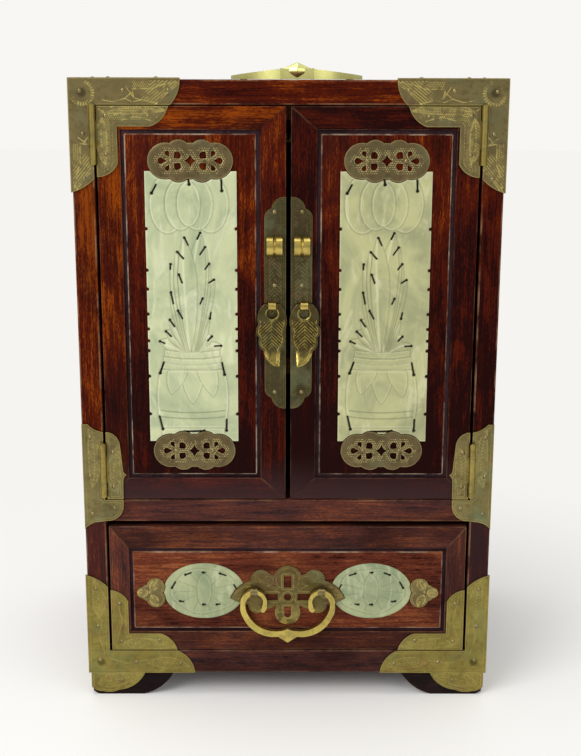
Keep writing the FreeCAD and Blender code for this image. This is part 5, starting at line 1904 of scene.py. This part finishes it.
@dataclass
class LeafPull:
    """A hanging pull in the form of a leaf, with chevrons, a scalloped edge and a tip bent forwards."""

    finishes: Finishes
    x: float = 8.7
    y: float = -81.25
    z: float = 231.7
    bar_radius: float = 1.1
    thickness: float = 1.8
    hole_radius: float = 2.9
    length: float = 33.0
    tip_reach: float = 3.4
    gap: float = 2.3

    @property
    def hole(self) -> float:
        """The height of the hole's middle."""
        return self.z - self.hole_radius - self.bar_radius

    def corners(self) -> list[Point]:
        """The outline, in X and Z.

        Returns:
            The points in order.
        """
        top, tip = self.z + self.bar_radius + 0.1 - self.hole, self.z - self.length - self.hole
        drawn = outline(
            (-3.9, top), ((-7.9, -4.6), (-6.4, -10.2)), ((-6.9, -14.4), (-4.4, -20.2)), (-3.9, tip),
            ((1.8, tip + 2.7), (4.6, -20.6)), ((7.2, -17.4), (7.0, -13.4)), ((8.8, -10.0), (7.5, -6.2)),
            ((8.0, -2.2), (4.4, top)))
        return [(self.x + u, self.hole + v) for u, v in drawn]

    def build(self) -> None:
        """Make the right and left pulls."""
        corners = self.corners()
        around = rounds([(self.x, self.hole, self.hole_radius)])
        gap = block(self.x - self.gap, self.x + self.gap, self.hole, self.z + 4)
        shape = polygon(corners) - (around | gap)
        sheet = WorkedSheet(shape, *bounds_of(corners, 0.4), lambda p: self._work(p, -shape.distance(p)), 0.28,
                            self.thickness / 2, lift=self._bend)
        for hand in HANDS:
            made = sheet.build(f"chased_{hand}_leaf_pull", place_on(Seat.FRONT, self.y * MM), hand == "left")
            self._add_bar(made, hand == "left")
            fit(made, hand + "_pull", self.finishes["leaf_brass"], "cast_brass", hand + "_leaf_pull")

    def _bend(self, p: Array) -> Array:
        """How far the tip is bent forwards."""
        root, tip = self.hole - 18.0, self.z - self.length + 1.0
        return self.tip_reach * np.clip((root - p[:, 1]) / (root - tip), 0, 1) ** 1.35

    def _work(self, p: Array, inside: Array) -> Marks:
        """Chevrons below the hole inside a raised edge.

        Args:
            p: The points.
            inside: How far each lies inside the edge.

        Returns:
            The heights and marks.
        """
        x, drop = p[:, 0] - self.x - 0.3, self.hole - p[:, 1]
        marked = ease(1.2, 1.8, inside) * ease(4.0, 5.0, drop) * (1 - ease(19.0, 20.5, drop))
        chevrons = ripple(drop - np.abs(x), 1.9)
        height = self.thickness / 2 - 0.16 * chevrons * marked - 0.25 * (1 - ease(0.0, 0.6, inside))
        # Ridges between the chevrons are marked bright as painted highlight, and the grooves dark as painted shade and
        # dirt.
        bright = (1 - chevrons) ** 2 * marked * 0.7 + line(x, 0.8) * 0.25 * marked
        tip = ease(19.5, 24.0, drop)
        around = np.hypot(p[:, 0] - self.x, p[:, 1] - self.hole) - self.hole_radius
        edges = np.maximum(line(inside - 1.3, 0.6) * ease(3.0, 4.0, drop), line(around - 0.5, 0.8))
        height = height + 0.10 * edges
        cut = most([bright, tip, edges * 0.75])
        return {"height": height, "cut": np.clip(cut, 0, 1), "hollow": 0.75 * chevrons * marked}

    def _add_bar(self, thing: Piece, left: bool) -> None:
        """Add the round bar that turns in the strap.

        Args:
            thing: The pull.
            left: Whether it is the left one.
        """
        mesh = bmesh.new()
        mesh.from_mesh(thing.data)
        reach = self.gap + 0.4
        way = -1 if left else 1
        turn = Matrix.Translation(Vector((way * self.x, self.y, self.z)) * MM) @ Matrix.Rotation(math.pi / 2, 4, "Y")
        made = bmesh.ops.create_cone(mesh, cap_ends=True, segments=28, radius1=self.bar_radius * MM,
                                     radius2=self.bar_radius * MM, depth=2 * reach * MM, matrix=turn)
        ends = [e for v in made["verts"] for e in v.link_edges if len(e.link_faces) == 2
                and any(len(f.verts) > 4 for f in e.link_faces)]
        bmesh.ops.bevel(
            mesh, geom=list(set(ends)), offset=0.15 * MM, segments=2, profile=0.5, affect="EDGES", material=-1)
        mesh.to_mesh(thing.data)
        mesh.free()
        thing.data.shade_smooth()
        thing.data.set_sharp_from_angle(angle=math.radians(45))


@dataclass
class FramedFront:
    """Four mitred members round a raised panel, as in each door and the drawer, in millimetres.

    The widths are of the left, right, bottom and top members. The tones say how much lighter the bottom, right, top
    and left members are.
    """

    low: Point
    high: Point
    widths: Sequence[float]
    tones: Sequence[float]
    grain: Grain
    seed: int
    panel_seed: int
    panel_tone: float = 0.0
    thickness: float = 12.0
    groove: float = 1.9
    arris: float = 0.75
    member_arris: float = 0.45
    tongue: float = 4.0
    tongue_reach: float = 3.9
    floor_drop: float = 1.0

    def _ring(self, left: float, right: float, bottom: float, top: float) -> list[Point]:
        """The front's corners, moved in on each side."""
        (x0, z0), (x1, z1) = self.low, self.high
        return [(x0 + left, z0 + bottom), (x1 - right, z0 + bottom), (x1 - right, z1 - top), (x0 + left, z1 - top)]

    def members(self) -> list[Board]:
        """The four members, from the bottom one round.

        Returns:
            The boards.
        """
        outer, inner = self._ring(0, 0, 0, 0), self._ring(*self.widths)
        made = []
        for n, tone in enumerate(self.tones):
            after = (n + 1) % 4
            grain = Grain.ACROSS if n % 2 == 0 else Grain.UPRIGHT
            points = [outer[n], outer[after], inner[after], inner[n]]
            made.append(Board(points, AT.front, self.thickness, grain, self.member_arris, self.seed + n, tone))
        return made

    def panel(self) -> list[Board]:
        """The raised field, the tongue in the members' grooves and the floor of the gap round the field.

        Returns:
            The boards.
        """
        face, thick, seed = AT.panel_face, AT.panel_thickness, self.panel_seed
        back = face + thick
        rings = [self._ring(*(width + inwards for width in self.widths))
                 for inwards in (self.groove, -self.tongue_reach, 0.03)]
        return [Board(rings[0], face, thick - 0.4, self.grain, self.arris, seed, self.panel_tone),
                Board(rings[1], back - self.tongue, self.tongue, self.grain, 0.2, seed),
                Board(rings[2], face + self.floor_drop, self.tongue, self.grain, 0.1, seed)]

    def hang(self, name: str, solid: str, body: str, finishes: Finishes, wood: str, panel_wood: str) -> None:
        """Make the wood and hang it on its body.

        Args:
            name: How the pieces' names start.
            solid: How the names of the solids start that they stand for.
            body: The body that they move with.
            finishes: Every finish by name.
            wood: The members' finish.
            panel_wood: The field's finish.
        """
        panel = self.panel()
        fit(boards(name + "_members", *self.members()), body, finishes[wood], "front_wood", solid + "_frame")
        fit(boards(name + "_field", *panel[:2]), body, finishes[panel_wood], "front_wood", solid + "_panel")
        fit(boards(name + "_groove", panel[2]), body, finishes["groove_wood"], "front_wood")


@dataclass
class Door:
    """The wood of one door."""

    finishes: Finishes
    hand: str
    inner: float = 1.3
    outer: float = 101.6
    low: float = 121.0
    high: float = 337.8
    meeting_stile: float = 14.0
    hinge_stile: float = 12.5
    rail: float = 12.3

    def build(self) -> None:
        """Make the frame and the panel."""
        name = self.hand + "_door"
        stiles, rails = (self.meeting_stile, self.hinge_stile), (self.rail, self.rail)
        if self.hand == "left":
            front = FramedFront((-self.outer, self.low), (-self.inner, self.high), (*stiles[::-1], *rails),
                                (-0.04, -0.18, 0.10, 0.08), Grain.UPRIGHT, 20, 25)
        else:
            # The right door's members and field are made darker: painted shade, the light falling from the left.
            front = FramedFront((self.inner, self.low), (self.outer, self.high), (*stiles, *rails),
                                (-0.26, -0.24, -0.44, -0.34), Grain.UPRIGHT, 30, 35, -0.10)
        front.hang(name, name, name, self.finishes, "front_wood", "panel_wood")


# ---- the drawer


@dataclass
class Drawer:
    """The drawer's framed front, its stone ovals and its brass."""

    finishes: Finishes
    half: float = 101.7
    low: float = 29.0
    high: float = 104.3
    stile: float = 11.1
    bottom_rail: float = 11.1
    top_rail: float = 13.2
    inset: float = 0.1
    oval_x: float = 48.0
    oval_z: float = 65.3
    oval_width: float = 46.2
    oval_height: float = 33.6
    oval_seat: float = 1.6
    bail_z: float = 61.7
    end_x: float = 79.0
    end_z: float = 64.2
    wing: float = 32.8
    end_leaves: tuple = (
        Frond((1.0, 0.0), (4.0, 0.0), (7.6, 0.0), 2.2), Frond((-0.5, 1.4), (-2.0, 4.0), (-4.0, 8.0), 2.2),
        Frond((-0.5, -1.4), (-2.0, -4.0), (-4.0, -8.0), 2.2))
    slots: tuple = (
        ((-12.6, 9.4), (-9.2, 10.6)), ((-0.5, 11.2), (0.5, 11.2)), ((7.4, 11.0), (10.6, 9.8)),
        ((16.4, 5.4), (18.4, 1.8)),
        ((12.0, -6.6), (14.0, -6.4)), ((-0.6, -8.4), (0.6, -8.4)), ((-9.0, -8.2), (-7.2, -8.4)),
        ((-17.2, 3.6), (-18.6, 1.0)), ((-17.2, -1.4), (-18.6, 1.0)))

    def build(self) -> None:
        """Make the front and dress the box."""
        front = FramedFront((-self.half, self.low), (self.half, self.high),
                            (self.stile, self.stile, self.bottom_rail, self.top_rail), (0.10, 0.04, 0.06, 0.08),
                            Grain.ACROSS, 40, 46)
        front.hang("drawer", "drawer_front", "drawer", self.finishes, "rail_wood", "drawer_panel_wood")
        self._ovals()
        self._plates()
        finishes = self.finishes
        dress_nodes(finishes["side_wood"], "drawer_sides", "drawer_bottom")
        dress_nodes(finishes["inner_wood"], "drawer_back")
        dress_nodes(finishes["lining_fabric"], "drawer_lining")
        dress_nodes(finishes["sheet_brass"], "drawer_corner_plates", "drawer_end_plates")
        dress_nodes(finishes["plate_brass"], "drawer_bail_plate")
        dress_nodes(finishes["nail_brass"], "drawer_bail_straps", "drawer_nails")
        dress_nodes(finishes["bail_brass"], "drawer_bail")

    def end_lobes(self) -> Shape:
        """The outline of the right end plate."""
        lobes = [(0.6, 0.0, 5.096), (4.16, 0.0, 3.38), (-3.224, 3.64, 5.2), (-3.224, -3.64, 5.2)]
        return rounds(lobes).moved(self.end_x, self.end_z)

    def plate_body(self) -> Shape:
        """The outline of the winged plate behind the bail.

        Returns:
            The outline, without its holes.
        """
        circles = [(0, 10.9, 8.1), (0, -9.6, 7.3), (0, 0, 9.0)]
        wings = []
        for side in (-1, 1):
            circles += [(side * 15.0, 12.9, 3.9), (side * 11.0, 10.0, 4.2), (side * 12.5, 0.6, 7.8),
                        (side * 17.8, -5.0, 4.8)]
            wings.append(polygon([(side * x, z) for x, z in outline(
                (10.0, 10.0), (17.0, 11.0), ((self.wing - 5.8, 6.8), (self.wing, -0.8)),
                ((self.wing - 6.0, -3.4), (17.0, -6.0)), (10.0, -6.0))]))
        return (rounds(circles) | wings[0] | wings[1]).moved(0, self.bail_z)

    def plate_holes(self) -> Shape:
        """The cross of slots in the plate behind the bail.

        Returns:
            Their outline.
        """
        holes = block(-2.2, 2.2, 5.8, 13.0) | block(-1.9, 1.9, -10.7, -6.1) | rounds([(0, -10.7, 1.9), (0, 0, 2.1)])
        for side in (-1, 1):
            holes = holes | block(min(side * 5.6, side * 12.6), max(side * 5.6, side * 12.6), -2.0, 2.0)
        return holes.moved(0, self.bail_z)

    def _ovals(self) -> None:
        """Make both carved ovals as one piece each."""
        clear = self.plate_body().grown(0.4) | self.end_lobes().grown(0.4)
        x, z, wide, high = self.oval_x, self.oval_z, self.oval_width / 2, self.oval_height / 2
        shape = ellipse(x, z, wide, high) - clear

        def work(p: Array) -> Marks:
            """The carving, measured from the oval's middle."""
            return self._carve(p - np.array((x, z)), -shape.distance(p))

        sheet = WorkedSheet(shape, (x - wide, z - high), (x + wide, z + high), work, 0.3, self.oval_seat)
        fit_both(sheet, "carved_{hand}_oval", place_on(Seat.FRONT, AT.panel_face * MM), "drawer",
                 self.finishes["oval_stone"], "carved_stone", "drawer_ovals")

    def _carve(self, p: Array, inside: Array) -> Marks:
        """A smooth rim round a low field with rays and a raised middle, with short slots cut through.

        Args:
            p: The points.
            inside: How far each lies inside the edge.

        Returns:
            The heights and marks.
        """
        wide, high = self.oval_width / 2, self.oval_height / 2
        ground = Carving.level(p, 0.66)
        stretch = p / np.array((wide, high))
        far, turn = np.hypot(*stretch.T), np.arctan2(stretch[:, 1], stretch[:, 0])
        edge = 0.80 + 0.03 * np.cos(5 * turn + 0.6)
        ground.form((far - edge) * high, 0.46, 0.30, 5.0, 0.4)
        keep = ((far < edge - 0.04) * (far > 0.26)).astype(float)
        ground.groove(np.abs(np.sin(5.5 * turn + 0.5 * far)) * far * high * 0.45, 0.8, 0.14, keep)
        ground.form(ellipse(0.0, 0.4, 3.9, 9.4).distance(p), 0.60, 0.16, 3.2, 0.4)
        for start, end in self.slots:
            ground.pierce(p, start, end, 0.42, 0.06)
        ground.height = ground.height - 0.25 * (1 - ease(0.0, 0.7, inside))
        return ground.marks()

    def _plates(self) -> None:
        """Make the faces of the bail's plate and of the end plates."""
        place = place_on(Seat.FRONT, (AT.panel_face - AT.brass) * MM)
        holes = self.plate_holes()
        shape = (self.plate_body() - holes).grown(-self.inset)
        sheet = WorkedSheet(
            shape, (-self.wing - 1, self.bail_z - 18), (self.wing + 1, self.bail_z + 20),
            lambda p: self._plate_work(p, shape, holes), 0.3, open_back=True)
        fit(sheet.build("bail_plate_face", place), "drawer", self.finishes["plate_brass"], "sheet_brass")
        end = self.end_lobes().grown(-self.inset)
        sheet = WorkedSheet(end, (self.end_x - 9, self.end_z - 10), (self.end_x + 9, self.end_z + 10),
                            partial(self._end_work, end), 0.28)
        fit_both(sheet, "{hand}_end_plate_face", place, "drawer", self.finishes["worked_brass"])

    def _plate_work(self, p: Array, shape: Shape, holes: Shape) -> Marks:
        """Lines that follow the edge and the slots, and leaves along the wings.

        Args:
            p: The points.
            shape: The outline.
            holes: The holes' outline.

        Returns:
            The heights and marks.
        """
        inside = -shape.distance(p)
        cut = np.maximum(line(holes.distance(p) - 1.1, 0.5), line(inside - 1.3, 0.5)) * 0.4
        for side in (-1, 1):
            wing = Frond((side * 15.0, self.bail_z + 3), (side * 24, self.bail_z + 4), (side * 31.5, self.bail_z), 3.6)
            cut = np.maximum(cut, engraved_leaf(p, wing, 1.7) * 0.4)
        low = ease(self.bail_z - 3.0, self.bail_z - 13.0, p[:, 1])
        return engraved(np.maximum(cut, 0.55 * low), inside)

    def _end_work(self, end: Shape, p: Array) -> Marks:
        """Veins from the nail to the lobes."""
        middle = np.array((self.end_x, self.end_z))
        return veined(p - middle, -end.distance(p), self.end_leaves, 1.3, 0.6, (0.9, 0.5, 0.3))


# ---- the rest


@dataclass
class Fittings:
    """Pieces that keep their solid shape and only need a finish."""

    finishes: Finishes

    def build(self) -> None:
        """Dress the doors' brass, the handle and the inside."""
        finishes = self.finishes
        for hand in HANDS:
            dress_nodes(finishes["hinge_brass"], hand + "_door_hinge_plates")
            dress_nodes(finishes["lock_brass"], hand + "_lock_plate")
            dress_nodes(finishes["cast_brass"], hand + "_door_loops")
            dress_nodes(finishes["cloud_brass"], hand + "_door_cloud_plates")
            dress_nodes(finishes["nail_brass"], hand + "_door_nails")
            dress_nodes(finishes["steel"], hand + "_door_keeper")
        dress_nodes(finishes["handle_brass"], "top_handle_bail")
        dress_nodes(finishes["sheet_brass"], "top_handle_posts")
        dress_nodes(finishes["cast_brass"], "necklace_hooks")
        dress_nodes(finishes["steel"], "catch_magnets")
        dress_nodes(finishes["lining_fabric"], "cupboard_lining")
        dress_nodes(finishes["inner_wood"], "shelf_board", "hook_rail", "door_stop_strip", "drawer_stops")


# ---- studio


@dataclass
class Studio:
    """The pale floor, the soft lamps and the camera."""

    distance: float = 671.05
    eye_x: float = -1.56
    eye_z: float = 349.94
    pitch: float = 0.2324
    yaw: float = 0.0043
    roll: float = 0.0025
    lens: float = 59.476
    sensor: float = 36.0
    floor_size: float = 12.0
    aim: Triple = (0, 0, 0.17)
    room: Colour = (0.935, 0.925, 0.900)
    floor_paint: Colour = (0.93, 0.92, 0.90)
    floor_glow: Colour = (0.915, 0.905, 0.880)
    fade: Point = (0.04, 0.42)
    lamps: tuple = (
        ("key", (-1.15, -1.35, 1.35), 1.2, 26.0), ("fill", (1.2, -1.5, 0.9), 1.4, 6.0),
        ("over", (-0.1, 0.0, 1.8), 1.3, 14.0))

    def build(self) -> None:
        """Make the floor, the world, the lamps and the camera."""
        self._world()
        self._floor()
        for lamp in self.lamps:
            self._lamp(*lamp)
        self._camera()

    def _world(self) -> None:
        """A white room that lights softly."""
        world = bpy.data.worlds.new("soft_room")
        bpy.context.scene.world = world
        world.use_nodes = True
        world.node_tree.nodes.clear()
        graph = Graph(world.node_tree)
        path = graph.add("LightPath").outputs
        glassy = graph.math("MAXIMUM", path["Is Glossy Ray"], path["Is Transmission Ray"])
        seen = graph.math("MAXIMUM", path["Is Camera Ray"], glassy)
        light = graph.plus(0.50, graph.times(path["Is Camera Ray"], 0.45))
        back = graph.wire(graph.add("Background"), Color=self.room, Strength=graph.plus(graph.times(seen, 0.05), light))
        graph.wire(graph.add("OutputWorld"), Surface=back.outputs[0])

    def _floor(self) -> None:
        """A pale floor that fades into the room."""
        mesh = bmesh.new()
        bmesh.ops.create_grid(mesh, x_segments=4, y_segments=4, size=self.floor_size / 2)
        floor = finished(mesh, "pale_floor", smooth=False)
        made, graph, shader, place = start_material("pale_floor")
        graph.wire(shader, Base_Color=self.floor_paint, Roughness=0.6)
        far = graph.give(graph.add("VectorMath", operation="LENGTH"), place)
        share = graph.range(far.outputs["Value"], *self.fade)
        glow = graph.wire(graph.add("Emission"), Color=self.floor_glow)
        seen = graph.times(share, graph.add("LightPath").outputs["Is Camera Ray"])
        mixed = graph.give(graph.add("MixShader"), seen, shader.outputs[0], glow.outputs[0])
        output = next(node for node in made.node_tree.nodes if node.bl_idname == "ShaderNodeOutputMaterial")
        graph.wire(output, Surface=mixed.outputs[0])
        dress(floor, made)

    def _lamp(self, name: str, place: Triple, size: float, power: float) -> None:
        """One large soft lamp that faces the cabinet.

        Args:
            name: Its name.
            place: Where it is, in metres.
            size: Its side.
            power: Its power.
        """
        data = bpy.data.lights.new(name, "AREA")
        data.size, data.energy = size, power
        lamp = bpy.data.objects.new(name, data)
        bpy.context.scene.collection.objects.link(lamp)
        lamp.location = place
        lamp.rotation_euler = (Vector(self.aim) - Vector(place)).to_track_quat("-Z", "Y").to_euler()

    def _camera(self) -> None:
        """The camera, where the photograph was taken from."""
        data = bpy.data.cameras.new("camera")
        data.lens, data.sensor_width = self.lens, self.sensor
        camera = bpy.data.objects.new("camera", data)
        bpy.context.scene.collection.objects.link(camera)
        ahead = Vector((math.sin(self.yaw) * math.cos(self.pitch), math.cos(self.yaw) * math.cos(self.pitch),
                        -math.sin(self.pitch)))
        right = Vector((math.cos(self.yaw), -math.sin(self.yaw), 0))
        up = right.cross(ahead)
        level, tilt = math.cos(self.roll), math.sin(self.roll)
        axes = Matrix((level * right + tilt * up, level * up - tilt * right, -ahead)).transposed().to_4x4()
        spot = Vector((self.eye_x, AT.front - self.distance, self.eye_z)) * MM
        camera.matrix_world = Matrix.Translation(spot) @ axes
        bpy.context.scene.camera = camera


# ---- main


def main() -> None:
    """Build the dressed cabinet round the frame."""
    logging.basicConfig(level=logging.INFO, format="%(name)s: %(message)s")
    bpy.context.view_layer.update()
    bpy.context.scene.view_settings.view_transform = "Standard"
    finishes = make_finishes()
    Case(finishes).build()
    CornerPlates(finishes).build()
    LowerHinges(finishes).build()
    FootPlates(finishes).build()
    clouds = CloudPlates(finishes)
    for hand in HANDS:
        Door(finishes, hand).build()
        # The right door gets the darker copy of the stone, which is painted shade.
        stone = finishes["carved_stone" if hand == "left" else "shaded_right_carved_stone"]
        DoorPlaque().build(hand, stone, clouds.footprint(0.4))
    clouds.build()
    LockPlates(finishes).build()
    LeafPull(finishes).build()
    Drawer(finishes).build()
    Fittings(finishes).build()
    Studio().build()


if __name__ == "__main__":
    main()
